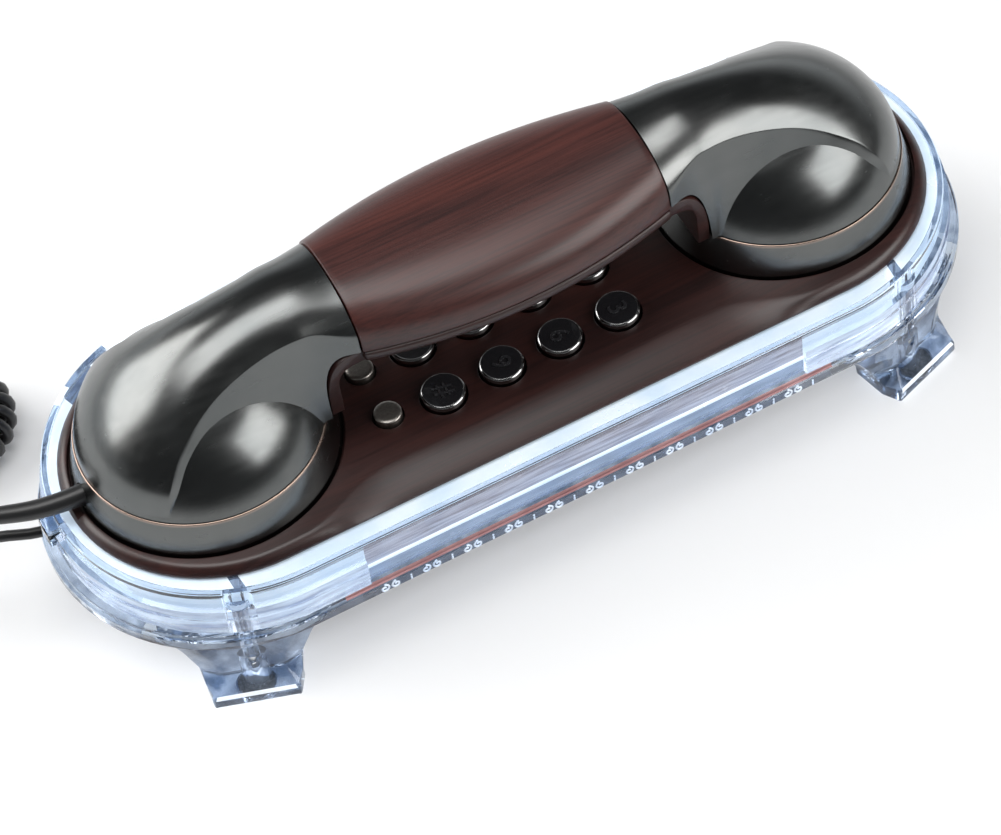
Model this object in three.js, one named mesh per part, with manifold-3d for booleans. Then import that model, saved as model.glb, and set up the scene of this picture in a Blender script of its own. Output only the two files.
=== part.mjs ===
// Desk telephone in a retro shape: a wood-look handset with two round metal caps lies on a
// stadium-shaped keypad base, which sits in a clear ring on a clear stand with four splayed feet.
// Millimetres, +Z up. The origin is under the middle of the base, on the surface it stands on.
// +X points to the earpiece end, -X to the mouthpiece end, where both ends of the cord are.
import * as THREE from 'three';
import { mergeVertices } from 'three/addons/utils/BufferGeometryUtils.js';
import Module from 'manifold-3d';

const wasm = await Module();
wasm.setup();

// ---------------------------------------------------------------- driving dimensions
const GAP = 0.3;                    // clearance between touching pieces

// handset
const CUP_X = 74.5;                 // axis of each round cap, either side of the middle
const CAP_BASE = 47.3;              // height where the caps stand on their collars
const CAP_R = 28.56;                // cap radius there
const DOME_H = 20;                  // height of the round dome above the collar
const SEAM_X = 38.8;                // joint between the grip and the metal caps
const LIP_Z = 64.8;                 // underside of the grip cover
const GRIP_MID_W = 21.9;            // grip half-width in the middle
const GRIP_END_W = 16;              // and at the seams
const GRIP_MID_TOP = 76.5;
const GRIP_END_TOP = 77.2;
const GRIP_ROUND = 2.45;            // squareness of the grip section (2 = ellipse)
const NECK_TOP = 31;                // top of the neck above the collar
const NECK_ROUND = 1.8;             // squareness of the neck's side outline
const PIVOT_X = 50;                 // the neck's stations turn about this line
const CHEEK_X = 48.2;               // where the wooden shell meets the metal neck
const COLLAR_R = 31;                // collar radius at its foot
const COLLAR_FOOT = 36.4;
const WALL = 2.2;
const SHELL_CORNER = [7, 14];       // reach of the curve from the grip down to each cheek
// half-width and height of the hood's edge, at even steps from upright to level
const HOOD_EDGE = [[11.9, 25.7], [11.4, 25.8], [11.5, 26.8], [12.3, 28.8], [13.4, 31.1],
  [15.2, 34], [18, 37.4], [21.2, 40.2], [22.4, 41.7]];

// wooden base
const DECK = 37.6;                  // keypad surface
const WELL_RIM = 38.3;              // land around the two wells
const WELL_R = 31.7;
const WELL_FLOOR = 36.1;
const WOOD_L = 108.6;               // half length and end radius of the wooden top
const WOOD_R = 36.8;
const WOOD_EDGE = 35.5;
const BODY_L = 106.4;               // wooden body below it, inside the clear ring
const BODY_R = 34.6;
const BODY_FOOT = 20.9;

// keypad
const KEY_DX = 15;
const KEY_DY = 15.93;
const KEY_X0 = -21.95;              // first row of digits
const KEY_TOP = 39.5;
const KEY_R = 5.2;
const SMALL_KEY_X = -35.4;
const SMALL_KEY_DY = 14.6;
const SMALL_KEY_R = 3.3;

// clear ring and stand
const RING_L = 112.2;
const RING_R = 42.7;
const RING_WALL = 2.5;
const RING_FOOT = 22.9;
const FLANGE_TOP = 35.2;
const RIM_TOP = 36.2;
const END_X = 56;                   // the ring is thicker beyond this
const SKIRT_L = 116;
const SKIRT_R = 44.4;
const SKIRT_FOOT = 18.3;
const POST = [85, 37.4];            // screw axis over each foot
const PAD = [86.1, 39.2];           // rubber pad under each foot
const PAD_R = 4.3;
const FOOT_OUT = [0.33, 0.944];     // each foot looks this way

// cord
const PLUG = [3.3, 26.9, 32.3];     // half-width, underside and top of the clear plug
const PLUG_Y = 3.6;
const PLUG_Z = (PLUG[1] + PLUG[2]) / 2;
const CORD_R = 1.3;
const COIL_R = 6.6;

// ---------------------------------------------------------------- helpers
function solid(geometry) {
  geometry.deleteAttribute('normal');
  geometry.deleteAttribute('uv');
  const merged = mergeVertices(geometry, 1e-4);
  const corners = Float32Array.from(merged.attributes.position.array);
  const build = (index) => new wasm.Manifold(
    new wasm.Mesh({ numProp: 3, vertProperties: corners, triVerts: index }));
  const index = Uint32Array.from(merged.index.array);
  const whole = build(index);
  if (whole.volume() > 0) return whole;
  for (let i = 0; i < index.length; i += 3) [index[i], index[i + 1]] = [index[i + 1], index[i]];
  return build(index);
}

const join = (list) => list.reduce((a, b) => a.add(b));
const cut = (body, list) => list.reduce((a, b) => a.subtract(b), body);

function disc(radius, z0, z1, x = 0, y = 0, sides = 16) {
  const g = new THREE.CylinderGeometry(radius, radius, z1 - z0, sides);
  g.rotateX(Math.PI / 2);
  g.translate(x, y, (z0 + z1) / 2);
  return solid(g);
}

function block(x0, x1, y0, y1, z0, z1) {
  const g = new THREE.BoxGeometry(x1 - x0, y1 - y0, z1 - z0);
  g.translate((x0 + x1) / 2, (y0 + y1) / 2, (z0 + z1) / 2);
  return solid(g);
}

// a body turned about a vertical axis, from [radius, height] pairs
function turned(profile, x = 0, y = 0, sides = 20) {
  const g = new THREE.LatheGeometry(profile.map(([r, z]) => new THREE.Vector2(r, z)), sides);
  g.rotateX(Math.PI / 2);
  g.translate(x, y, 0);
  return solid(g);
}

// rectangle with round ends, long axis along X
function stadium(halfLength, radius) {
  const s = new THREE.Shape();
  const c = halfLength - radius;
  s.absarc(c, 0, radius, -Math.PI / 2, Math.PI / 2, false);
  s.absarc(-c, 0, radius, Math.PI / 2, 3 * Math.PI / 2, false);
  s.closePath();
  return s;
}

function prism(shape, z0, z1, arcSteps = 10) {
  const g = new THREE.ExtrudeGeometry(shape,
    { depth: z1 - z0, bevelEnabled: false, curveSegments: arcSteps });
  g.translate(0, 0, z0);
  return solid(g);
}

const ringPrism = (l, r, wall, z0, z1, steps) =>
  prism(stadium(l, r), z0, z1, steps).subtract(
    prism(stadium(l - wall, r - wall), z0 - 1, z1 + 1, steps));

// skin over a row of rings that all have the same number of points
function loft(rings) {
  const around = rings[0].length;
  const along = rings.length - 1;
  const g = new THREE.CylinderGeometry(1, 1, 1, around, along);
  const p = g.attributes.position;
  const middle = (ring) => [0, 1, 2].map((k) => ring.reduce((t, q) => t + q[k], 0) / around);
  for (let v = 0; v < p.count; v++) {
    const x = p.getX(v), z = p.getZ(v);
    const ring = rings[Math.round((0.5 - p.getY(v)) * along)];
    const turn = Math.atan2(x, z) / (2 * Math.PI);
    const k = (Math.round(turn * around) + around) % around;
    const q = Math.hypot(x, z) < 1e-6 ? middle(ring) : ring[k];
    p.setXYZ(v, ...q);
  }
  return solid(g);
}

const blend = (a, b, t) => a + (b - a) * t;
const smooth = (t) => { const c = Math.min(1, Math.max(0, t)); return c * c * (3 - 2 * c); };
const root = (v, n) => Math.pow(Math.abs(v), 2 / n);

const finish = {
  wood: [0x4a2526, 0.38, 0.0],
  gunmetal: [0x6c6a68, 0.28, 0.95],
  clear: [0xdce9fa, 0.05, 0.0],
  brown: [0x3a2322, 0.5, 0.0],
  black: [0x101012, 0.35, 0.0],
  rubber: [0x1a1a1b, 0.8, 0.0],
  keyTop: [0x17171a, 0.2, 0.1],
  bronze: [0x8d8078, 0.3, 0.8],
  steel: [0xb9bbbd, 0.35, 0.9],
  board: [0x2c5a35, 0.6, 0.0],
  cone: [0x2a2a2c, 0.7, 0.0],
};

const phone = new THREE.Group();

function piece(name, body, look) {
  const { numProp, vertProperties, triVerts } = body.getMesh();
  const corners = new Float32Array(vertProperties.length / numProp * 3);
  for (let i = 0; i < corners.length / 3; i++) {
    for (let k = 0; k < 3; k++) corners[3 * i + k] = vertProperties[numProp * i + k];
  }
  const g = new THREE.BufferGeometry();
  g.setAttribute('position', new THREE.BufferAttribute(corners, 3));
  g.setIndex(Array.from(triVerts));
  const [color, roughness, metalness] = finish[look];
  const mesh = new THREE.Mesh(g, new THREE.MeshStandardMaterial({ color, roughness, metalness }));
  mesh.name = name;
  phone.add(mesh);
}

// ---------------------------------------------------------------- handset: grip
// Half-width and top of the grip cover at a distance x from the middle.
const gripWidth = (x) => blend(GRIP_MID_W, GRIP_END_W, (x / SEAM_X) ** 2);
const gripTop = (x) => blend(GRIP_MID_TOP, GRIP_END_TOP, (x / SEAM_X) ** 2);

function gripRing(x, inset, foot) {
  const w = gripWidth(x) - inset, top = gripTop(x) - inset;
  const ring = [];
  for (let k = 0; k <= 12; k++) {
    const a = Math.PI * k / 12;
    ring.push([x, Math.sign(Math.cos(a)) * w * root(Math.cos(a), GRIP_ROUND),
      LIP_Z + (top - LIP_Z) * root(Math.sin(a), GRIP_ROUND)]);
  }
  ring.push([x, -w, foot], [x, w, foot]);
  return ring;
}

const stations = (x0, x1, count) =>
  Array.from({ length: count + 1 }, (_, i) => blend(x0, x1, i / count));

const gripEnd = SEAM_X - GAP;
const gripOuter = loft(stations(-gripEnd, gripEnd, 8).map((x) => gripRing(x, 0, LIP_Z - 0.01)));
const gripInner = loft(stations(-gripEnd - 1, gripEnd + 1, 4).map((x) => gripRing(x, WALL, LIP_Z - 4)));
piece('grip_cover', gripOuter.subtract(gripInner), 'wood');

// ---------------------------------------------------------------- handset: wooden lower shell
// A floor under the grip and necks that turns down at both ends into a cheek on each collar.
function shellBand() {
  const top = LIP_Z - GAP, foot = CAP_BASE + 0.2, [reach, drop] = SHELL_CORNER;
  const s = new THREE.Shape();
  s.moveTo(-CHEEK_X, foot);
  s.lineTo(-CHEEK_X, top - drop);
  s.quadraticCurveTo(-CHEEK_X, top, -CHEEK_X + reach, top);
  s.lineTo(CHEEK_X - reach, top);
  s.quadraticCurveTo(CHEEK_X, top, CHEEK_X, top - drop);
  s.lineTo(CHEEK_X, foot);
  s.lineTo(CHEEK_X - 3, foot);
  s.lineTo(CHEEK_X - 3, top - 8);
  s.quadraticCurveTo(CHEEK_X - 4, top - 4, CHEEK_X - 8, top - 3.5);
  s.lineTo(-CHEEK_X + 8, top - 3.5);
  s.quadraticCurveTo(-CHEEK_X + 4, top - 4, -CHEEK_X + 3, top - 8);
  s.lineTo(-CHEEK_X + 3, foot);
  s.closePath();
  const g = new THREE.ExtrudeGeometry(s, { depth: 30.4, bevelEnabled: false, curveSegments: 3 });
  g.rotateX(Math.PI / 2);
  g.translate(0, 15.2, 0);
  return solid(g);
}

function shellPlate() {
  const outline = new THREE.Shape();
  const side = stations(-gripEnd, gripEnd, 8).map((x) => [x, gripWidth(x) + 0.5]);
  side.forEach(([x, w], i) => (i ? outline.lineTo(x, -w) : outline.moveTo(x, -w)));
  side.reverse().forEach(([x, w]) => outline.lineTo(x, w));
  outline.closePath();
  return prism(outline, LIP_Z - 2.8, LIP_Z - GAP);
}

const shellScrews = [-20, 20];
piece('handset_lower_shell', cut(shellBand().add(shellPlate()), shellScrews.flatMap((x) => [
  disc(1.6, LIP_Z - 9, LIP_Z + 3, x, 0, 8), disc(3, LIP_Z - 9, LIP_Z - 2.2, x, 0, 8)])), 'wood');
shellScrews.forEach((x, i) => piece(`handset_screw_${i + 1}`,
  turned([[0, LIP_Z - 3.9], [2.6, LIP_Z - 3.9], [2.6, LIP_Z - 2.5], [1.3, LIP_Z - 2.5],
    [1.3, LIP_Z + 1.2], [0, LIP_Z + 1.2]], x, 0, 8), 'steel'));
piece('handset_weight', block(-14, 14, -11, 11, LIP_Z + 1.6, LIP_Z + 7.6), 'steel');

// ---------------------------------------------------------------- handset: metal caps
// The neck leaves the grip level, then its stations turn about PIVOT_X down to the collar.
// Across each station: an inclined side up to a shoulder, and a round back over it. The
// shoulder swells out into a hood over the dome, as HOOD_EDGE gives it.
function neckStation(phi, t, inset) {
  const reach = CUP_X + CAP_R - PIVOT_X;
  const back = ((Math.sin(phi) / reach) ** NECK_ROUND + (Math.cos(phi) / NECK_TOP) ** NECK_ROUND)
    ** (-1 / NECK_ROUND);
  const at = phi / (Math.PI / 2) * (HOOD_EDGE.length - 1);
  const i = Math.min(Math.floor(at), HOOD_EDGE.length - 2);
  const [half, shoulder] = HOOD_EDGE[i].map((value, k) => blend(value, HOOD_EDGE[i + 1][k], at - i));
  return {
    foot: blend(18, 16, t) - inset,
    half: blend(15.6, half, t) - inset,
    shoulder: blend(21, shoulder, t),
    top: blend(GRIP_END_TOP - CAP_BASE, back, t) - inset,
    arc: smooth(t),
  };
}

function neckRings(side, inset) {
  const rings = [];
  const add = (x, phi, t) => {
    const s = neckStation(phi, t, inset);
    const height = s.top - s.shoulder;
    const radius = (s.half ** 2 + height ** 2) / (2 * height);
    const put = (y, r) => [side * (x + r * Math.sin(phi)), y, CAP_BASE + r * Math.cos(phi)];
    const ring = [put(s.foot, 0.4)];
    for (let k = 0; k <= 10; k++) {
      const y = s.half * Math.cos(Math.PI * k / 10);
      const ellipse = Math.sqrt(Math.max(0, 1 - (y / s.half) ** 2));
      const arc = 1 - (radius - Math.sqrt(Math.max(0, radius ** 2 - y ** 2))) / height;
      ring.push(put(y, s.shoulder + height * blend(ellipse, height < s.half ? arc : ellipse, s.arc)));
    }
    ring.push(put(-s.foot, 0.4));
    rings.push(ring);
  };
  const start = inset ? SEAM_X - 1 : SEAM_X + GAP / 2;
  for (const x of stations(start, PIVOT_X, 3)) add(x, 0, smooth((x - SEAM_X) / (PIVOT_X - SEAM_X)));
  for (let k = 1; k <= 9; k++) add(PIVOT_X, Math.PI / 2 * k / 9, 1);
  return rings;
}

function domeProfile(radius, height, foot) {
  const sphere = (radius ** 2 + height ** 2) / (2 * height);
  const span = Math.asin(radius / sphere);
  const out = [[0, foot], [radius, foot]];
  for (let k = 1; k <= 5; k++) {
    const a = span * (1 - k / 5);
    out.push([k === 5 ? 0 : sphere * Math.sin(a), CAP_BASE + height - sphere + sphere * Math.cos(a)]);
  }
  if (foot < CAP_BASE) out.splice(2, 0, [radius, CAP_BASE]);
  return out;
}

// what the lower shell fills under the neck, with the shell's round corner
function underNeck(side) {
  const top = LIP_Z + GAP / 2, edge = CHEEK_X + GAP, [reach, drop] = SHELL_CORNER;
  const s = new THREE.Shape();
  s.moveTo(side * 20, 20);
  s.lineTo(side * edge, 20);
  s.lineTo(side * edge, top - drop);
  s.quadraticCurveTo(side * edge, top, side * (edge - reach), top);
  s.lineTo(side * 20, top);
  s.closePath();
  const g = new THREE.ExtrudeGeometry(s, { depth: 80, bevelEnabled: false, curveSegments: 3 });
  g.rotateX(Math.PI / 2);
  g.translate(0, 40, 0);
  return solid(g);
}

function cap(side) {
  const outer = turned(domeProfile(CAP_R, DOME_H, CAP_BASE), side * CUP_X, 0, 32)
    .add(loft(neckRings(side, 0)));
  return cut(outer, [underNeck(side), loft(neckRings(side, WALL)),
    turned(domeProfile(CAP_R - 2.4, DOME_H - 2.2, CAP_BASE - 3), side * CUP_X, 0, 16)]);
}
piece('earpiece_cap', cap(1), 'gunmetal');
piece('mouthpiece_cap', cap(-1), 'gunmetal');

// ---------------------------------------------------------------- handset: collars and capsules
const collarProfile = [[27.4, COLLAR_FOOT], [31.2, COLLAR_FOOT], [COLLAR_R, 38.2],
  [28.9, CAP_BASE - GAP], [26.4, CAP_BASE - GAP], [26.4, 40.4], [27.4, 40.4], [27.4, COLLAR_FOOT]];
const cordBore = (r, x1) => {
  const g = new THREE.CylinderGeometry(r, r, 12, 10);
  g.rotateZ(Math.PI / 2);
  g.translate(x1 - 6, 0, 40.6);
  return solid(g);
};
piece('earpiece_collar', turned(collarProfile, CUP_X, 0, 32), 'gunmetal');
piece('mouthpiece_collar', turned(collarProfile, -CUP_X, 0, 32).subtract(cordBore(2.8, -94)), 'gunmetal');

function grille(x, rings) {
  const holes = rings.flatMap(([r, n]) => Array.from({ length: n }, (_, i) =>
    disc(1.3, 30, 50, x + r * Math.cos(2 * Math.PI * i / n), r * Math.sin(2 * Math.PI * i / n), 6)));
  return cut(turned([[0, 37.3], [26.9, 37.3], [26.9, 39.2], [0, 39.2]], x, 0, 28), holes);
}
piece('earpiece_grille', grille(CUP_X, [[6, 5], [13, 9]]), 'brown');
piece('mouthpiece_grille', grille(-CUP_X, [[6, 5]]), 'brown');
piece('receiver_capsule', turned([[0, 39.6], [20, 39.6], [20, 45], [14, 51], [0, 51]], CUP_X, 0, 20), 'black');
piece('microphone_capsule', turned([[0, 39.6], [9, 39.6], [9, 46], [0, 46]], -CUP_X, 0, 14), 'black');

// ---------------------------------------------------------------- base: wooden top
// Width, shoulder and height of the wooden top across the base, at a distance x from the middle.
function topSection(x) {
  const c = WOOD_L - WOOD_R;
  const over = Math.max(0, Math.abs(x) - c);
  const w = Math.sqrt(Math.max(0.2, WOOD_R ** 2 - over ** 2));
  const t = smooth((Math.abs(x) - 42) / 24);
  const edge = 36.2;
  const crease = Math.max(0.1, blend(26.8, w - blend(3.6, 2.2, smooth(over / WOOD_R)), t));
  const top = blend(DECK, WELL_RIM, t) - (over > 30 ? (over - 30) / 6.8 * 1.6 : 0);
  const bulge = blend(0.5, 0.8, t);
  return { w, edge: Math.min(edge, top - 0.3), crease: Math.min(crease, w - 0.1), top, bulge };
}

function topRing(x) {
  const s = topSection(x);
  const halfway = [blend(s.w, s.crease, 0.45), blend(s.edge, s.top, s.bulge)];
  const half = [[s.w, WOOD_EDGE], [s.w, s.edge], halfway, [s.crease, s.top]];
  return [...half.map(([y, z]) => [x, y, z]), ...half.reverse().map(([y, z]) => [x, -y, z])];
}

const topStations = Array.from({ length: 27 }, (_, i) => {
  const u = -1 + 2 * i / 26;
  return Math.sign(u) * WOOD_L * Math.sin(Math.PI / 2 * Math.abs(u) ** 0.9);
}).map((x) => Math.max(-WOOD_L + 0.01, Math.min(WOOD_L - 0.01, x)));

const digits = [];
for (let row = 0; row < 4; row++) {
  for (let col = -1; col <= 1; col++) digits.push([KEY_X0 + row * KEY_DX, col * KEY_DY]);
}
const digitNames = ['key_hash', 'key_0', 'key_star', 'key_9', 'key_8', 'key_7',
  'key_6', 'key_5', 'key_4', 'key_3', 'key_2', 'key_1'];
const smallKeys = [['key_redial', -SMALL_KEY_DY], ['key_pause', 0], ['key_flash', SMALL_KEY_DY]];

const corners = [[-1, -1], [1, -1], [1, 1], [-1, 1]];
const plateScrews = [-54, 54];

const housing = cut(
  loft(topStations.map(topRing)).add(prism(stadium(BODY_L, BODY_R), BODY_FOOT, WOOD_EDGE + 0.4)),
  [
    prism(stadium(BODY_L - WALL, BODY_R - WALL), BODY_FOOT - 5, 33.4),
    block(-41, 41, -24, 24, 30, 35.2),
    disc(WELL_R, WELL_FLOOR, 60, -CUP_X, 0, 32), disc(WELL_R, WELL_FLOOR, 60, CUP_X, 0, 32),
    disc(3, 30, 40, CUP_X, 0, 12),
    block(-112, -100, -3.6, 3.6, 37.1, 60),
    block(-112, -98, PLUG_Y - 3.9, PLUG_Y + 3.9, 26.3, 32.9),
    block(48, 57.5, 30, 37, 23.5, 31.5),
    ...digits.map(([x, y]) => disc(KEY_R + 0.5, 34, 40, x, y, 12)),
    ...smallKeys.map(([, y]) => disc(SMALL_KEY_R + 0.5, 34, 40, SMALL_KEY_X, y, 12)),
  ]).add(join(plateScrews.map((x) => disc(4, 21.3, 33.6, x, 0, 10).subtract(disc(1.9, 21, 30, x, 0, 8)))));
piece('base_top_housing', housing, 'wood');

// ---------------------------------------------------------------- base: plate and insides
const plate = cut(
  prism(stadium(SKIRT_L - 8.1, SKIRT_R - 7.5), SKIRT_FOOT, BODY_FOOT - GAP).add(
    join(corners.map(([sx, sy]) => disc(2.5, 20, 27.2, 40 * sx, 19 * sy, 8)))),
  plateScrews.flatMap((x) => [disc(1.8, 10, 22, x, 0, 8), disc(3.6, 10, 19.7, x, 0, 8)]));
piece('base_bottom_plate', plate, 'brown');
plateScrews.forEach((x, i) => piece(`plate_screw_${i + 1}`,
  turned([[0, 18.4], [3, 18.4], [3, 19.4], [1.4, 19.4], [1.4, 28.5], [0, 28.5]], x, 0, 8), 'steel'));

piece('circuit_board', block(-46, 46, -26, 26, 27.5, 29.1), 'board');
piece('keypad_mat', block(-39.5, 39.5, -22.5, 22.5, 29.4, 31.4), 'rubber');
piece('ringer_speaker', turned([[0, 20.95], [13, 20.95], [13, 24], [8, 26.8], [0, 26.8]], -74, 0, 16), 'cone');
piece('hook_switch', block(68, 81, -6, 6, 20.95, 27.4), 'black');
piece('hook_plunger', turned([[0, 27.7], [4.2, 27.7], [4.2, 29.4], [2.6, 29.4], [2.6, 36.6],
  [2.1, 37], [0, 37]], CUP_X, 0, 12), 'black');

function key(x, y, r) {
  return turned([[0, 33], [r + 0.8, 33], [r + 0.8, 34.2], [r, 34.2], [r, KEY_TOP - 0.6],
    [r - 0.4, KEY_TOP], [0, KEY_TOP]], x, y, 12);
}
digits.forEach(([x, y], i) => piece(digitNames[i], key(x, y, KEY_R), 'keyTop'));
smallKeys.forEach(([name, y]) => piece(name, key(SMALL_KEY_X, y, SMALL_KEY_R), 'bronze'));

// ---------------------------------------------------------------- clear ring and stand
const posts = corners.map(([sx, sy]) => disc(3.4, RING_FOOT, 33.2, POST[0] * sx, POST[1] * sy, 10));
const endOnly = block(-END_X, END_X, -60, 60, 0, 60);
const ring = cut(join([
  ringPrism(RING_L, RING_R, RING_WALL, RING_FOOT, 33.2, 9),
  prism(stadium(RING_L, RING_R), 33, FLANGE_TOP, 9).subtract(
    prism(stadium(BODY_L + 0.5, BODY_R + 0.5), 30, 40, 9)),
  ringPrism(RING_L, RING_R, 1.6, FLANGE_TOP - 0.1, RIM_TOP, 9),
  ringPrism(RING_L + 1.2, RING_R + 1.2, 2, RING_FOOT, 31, 9).subtract(endOnly),
  ...posts,
]), [
  ...corners.map(([sx, sy]) => disc(1.8, RING_FOOT - 1, 30, POST[0] * sx, POST[1] * sy, 8)),
  block(-118, -104, PLUG_Y - 3.9, PLUG_Y + 3.9, 26.3, 32.9),
  block(48, 57.5, 38, 46, 23.5, 31.5),
]);
piece('clear_ring', ring, 'clear');

// A foot: a waisted column under the ring that ends in a thick faceted toe.
function foot(sx, sy) {
  const [nx, ny] = FOOT_OUT;
  const mid = 68.5;                               // along the edge, from the middle of the base
  const level = (z, front, half, sideOut, sideHalf, back, backHalf) =>
    [[front, half], [sideOut, sideHalf], [back, backHalf], [back, -backHalf],
      [sideOut, -sideHalf], [front, -half]]
      .map(([out, along]) => [sx * (nx * out + ny * (mid + along)),
        sy * (ny * out - nx * (mid + along)), z]);
  return loft([
    level(0.5, 71, 10, 66, 11.2, 57, 10), level(3.9, 70.8, 10, 66, 11.2, 57, 10.5),
    level(7.9, 66.8, 6.8, 64, 12, 57, 12), level(13, 66.3, 8.6, 62.5, 15, 56, 15),
    level(21, 65.8, 12.2, 61, 21.5, 56, 22)]);
}
const skirt = ringPrism(SKIRT_L, SKIRT_R, 7.5, SKIRT_FOOT, 21.4, 9).add(
  ringPrism(SKIRT_L - 0.8, SKIRT_R - 0.8, 6.7, SKIRT_FOOT, RING_FOOT - GAP, 9));
const inner = prism(stadium(SKIRT_L - 7.5, SKIRT_R - 7.5), SKIRT_FOOT - 0.01, 30, 9);
const stand = cut(skirt.add(join(corners.map(([sx, sy]) => foot(sx, sy)))), [
  inner,
  ...corners.flatMap(([sx, sy]) => {
    const [x, y] = [POST[0] * sx, POST[1] * sy];
    return [disc(1.9, 0, 30, x, y, 8), disc(3.3, -1, 12, x, y, 8),
      disc(PAD_R + GAP, -1, 1.8, PAD[0] * sx, PAD[1] * sy, 14)];
  })]);
piece('clear_stand', stand, 'clear');
corners.forEach(([sx, sy], i) => {
  piece(`foot_pad_${i + 1}`, disc(PAD_R, 0, 1.5, PAD[0] * sx, PAD[1] * sy, 14), 'rubber');
  piece(`stand_screw_${i + 1}`, turned([[0, 9.4], [2.8, 9.4], [2.8, 11.7], [1.4, 11.7],
    [1.4, 29], [0, 29]], POST[0] * sx, POST[1] * sy, 8), 'steel');
});

// ---------------------------------------------------------------- cord
const v = (x, y, z) => new THREE.Vector3(x, y, z);

function tube(points, radius, sides, steps) {
  const section = new THREE.Shape();
  for (let k = 0; k < sides; k++) {
    const a = 2 * Math.PI * k / sides;
    const [px, py] = [radius * Math.cos(a), radius * Math.sin(a)];
    if (k) section.lineTo(px, py); else section.moveTo(px, py);
  }
  section.closePath();
  const path = new THREE.CatmullRomCurve3(points, false, 'centripetal');
  return solid(new THREE.ExtrudeGeometry(section, { steps, bevelEnabled: false, extrudePath: path }));
}

// rubber sleeve out of the mouthpiece collar, thinner towards its end
const reliefPath = [v(-101.8, 0, 40.6), v(-106, 0, 40.6),
  v(-115, 1.4, 40.6), v(-124, 5, 40.3), v(-132, 9.6, 39)];
function taper(points, r0, r1, rings, sides) {
  const path = new THREE.CatmullRomCurve3(points, false, 'centripetal');
  const frames = path.computeFrenetFrames(rings, false);
  return loft(stations(0, 1, rings).map((t, i) => {
    const c = path.getPointAt(t), r = blend(r0, r1, t);
    return Array.from({ length: sides }, (_, k) => {
      const a = 2 * Math.PI * k / sides;
      return c.clone().addScaledVector(frames.normals[i], r * Math.cos(a))
        .addScaledVector(frames.binormals[i], r * Math.sin(a)).toArray();
    });
  }));
}
piece('strain_relief', taper(reliefPath, 2.5, 2.0, 8, 10), 'black');

piece('handset_jack', cut(block(-102.4, -88.3, PLUG_Y - 5.4, PLUG_Y + 5.4, 24, 33.1), [
  block(-110, -90, PLUG_Y - PLUG[0] - GAP, PLUG_Y + PLUG[0] + GAP, PLUG[1] - GAP, PLUG[2] + GAP)]), 'black');
piece('modular_plug', block(-115, -90.6, PLUG_Y - PLUG[0], PLUG_Y + PLUG[0], PLUG[1], PLUG[2]), 'clear');
piece('line_jack', cut(block(47, 58.5, 17, 32, 20.95, 33.1), [block(48.5, 57, 19, 40, 24, 31)]), 'black');

piece('cord_tail', tube([v(-115.4, PLUG_Y, PLUG_Z), v(-118, 4.4, PLUG_Z), v(-125, 8, PLUG_Z - 0.6),
  v(-138, 14.5, 23.5), v(-153, 21, 11), v(-171, 29, 2.2), v(-189, 40, 1.9), v(-196, 56, 2.7), v(-189, 69, 5.8), v(-179, 71.5, 7),
  v(-175.3, 71.5, 7.1)], CORD_R, 8, 32), 'black');
piece('cord_lead', tube([v(-132.3, 9.8, 38.9), v(-141, 15.4, 35.6), v(-153, 23, 26), v(-165, 30, 13.6),
  v(-178, 37, 6.4), v(-185, 44.5, 6), v(-184, 51, 6.9), v(-179, 52.5, 7.1), v(-175.3, 52.5, 7.1)],
CORD_R, 8, 26), 'black');
const bend = stations(-Math.PI / 2, Math.PI / 2, 4).map((a) =>
  v(-119.6 + 9.5 * Math.cos(a), 62 + 9.5 * Math.sin(a), 7.1));
piece('cord_curl', tube([v(-175, 52.5, 7.1), v(-160, 52.5, 7.1), v(-140, 52.5, 7.1), ...bend,
  v(-140, 71.5, 7.1), v(-160, 71.5, 7.1), v(-175, 71.5, 7.1)], COIL_R, 10, 22), 'black');

export default phone;
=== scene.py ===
"""Looks of a retro desk telephone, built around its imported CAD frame.

Lengths are in millimetres until a mesh is made, and metres from there on.
"""

import math

import bmesh
import bpy
from mathutils import Matrix, Vector


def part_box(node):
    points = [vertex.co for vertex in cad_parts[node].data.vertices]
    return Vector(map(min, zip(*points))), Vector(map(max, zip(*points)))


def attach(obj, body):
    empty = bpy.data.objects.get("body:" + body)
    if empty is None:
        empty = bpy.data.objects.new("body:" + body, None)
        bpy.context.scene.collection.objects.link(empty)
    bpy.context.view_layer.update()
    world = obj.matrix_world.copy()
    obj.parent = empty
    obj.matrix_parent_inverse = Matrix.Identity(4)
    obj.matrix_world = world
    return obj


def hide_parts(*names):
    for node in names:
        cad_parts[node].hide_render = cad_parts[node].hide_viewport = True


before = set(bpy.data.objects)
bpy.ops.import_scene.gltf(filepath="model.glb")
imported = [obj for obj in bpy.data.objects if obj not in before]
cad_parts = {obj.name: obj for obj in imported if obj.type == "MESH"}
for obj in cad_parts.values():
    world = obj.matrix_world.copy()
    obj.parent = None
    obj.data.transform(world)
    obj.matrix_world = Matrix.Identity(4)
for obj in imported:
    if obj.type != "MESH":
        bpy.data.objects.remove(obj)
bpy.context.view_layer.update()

MM = 0.001
IMAGE_WIDTH = 1001
SIDES = (("mouthpiece", -1), ("earpiece", 1))


# ---------------------------------------------------------------- camera
CAMERA_TARGET = Vector((-13.029, -26.045, 34.4)) * MM
CAMERA_AZIMUTH = math.radians(-20.067)
CAMERA_ELEVATION = math.radians(52.674)
CAMERA_ROLL = math.radians(9.265)
CAMERA_DISTANCE = 842.525 * MM
FOCAL_PIXELS = 3729.41
SENSOR = 36.0


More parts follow.
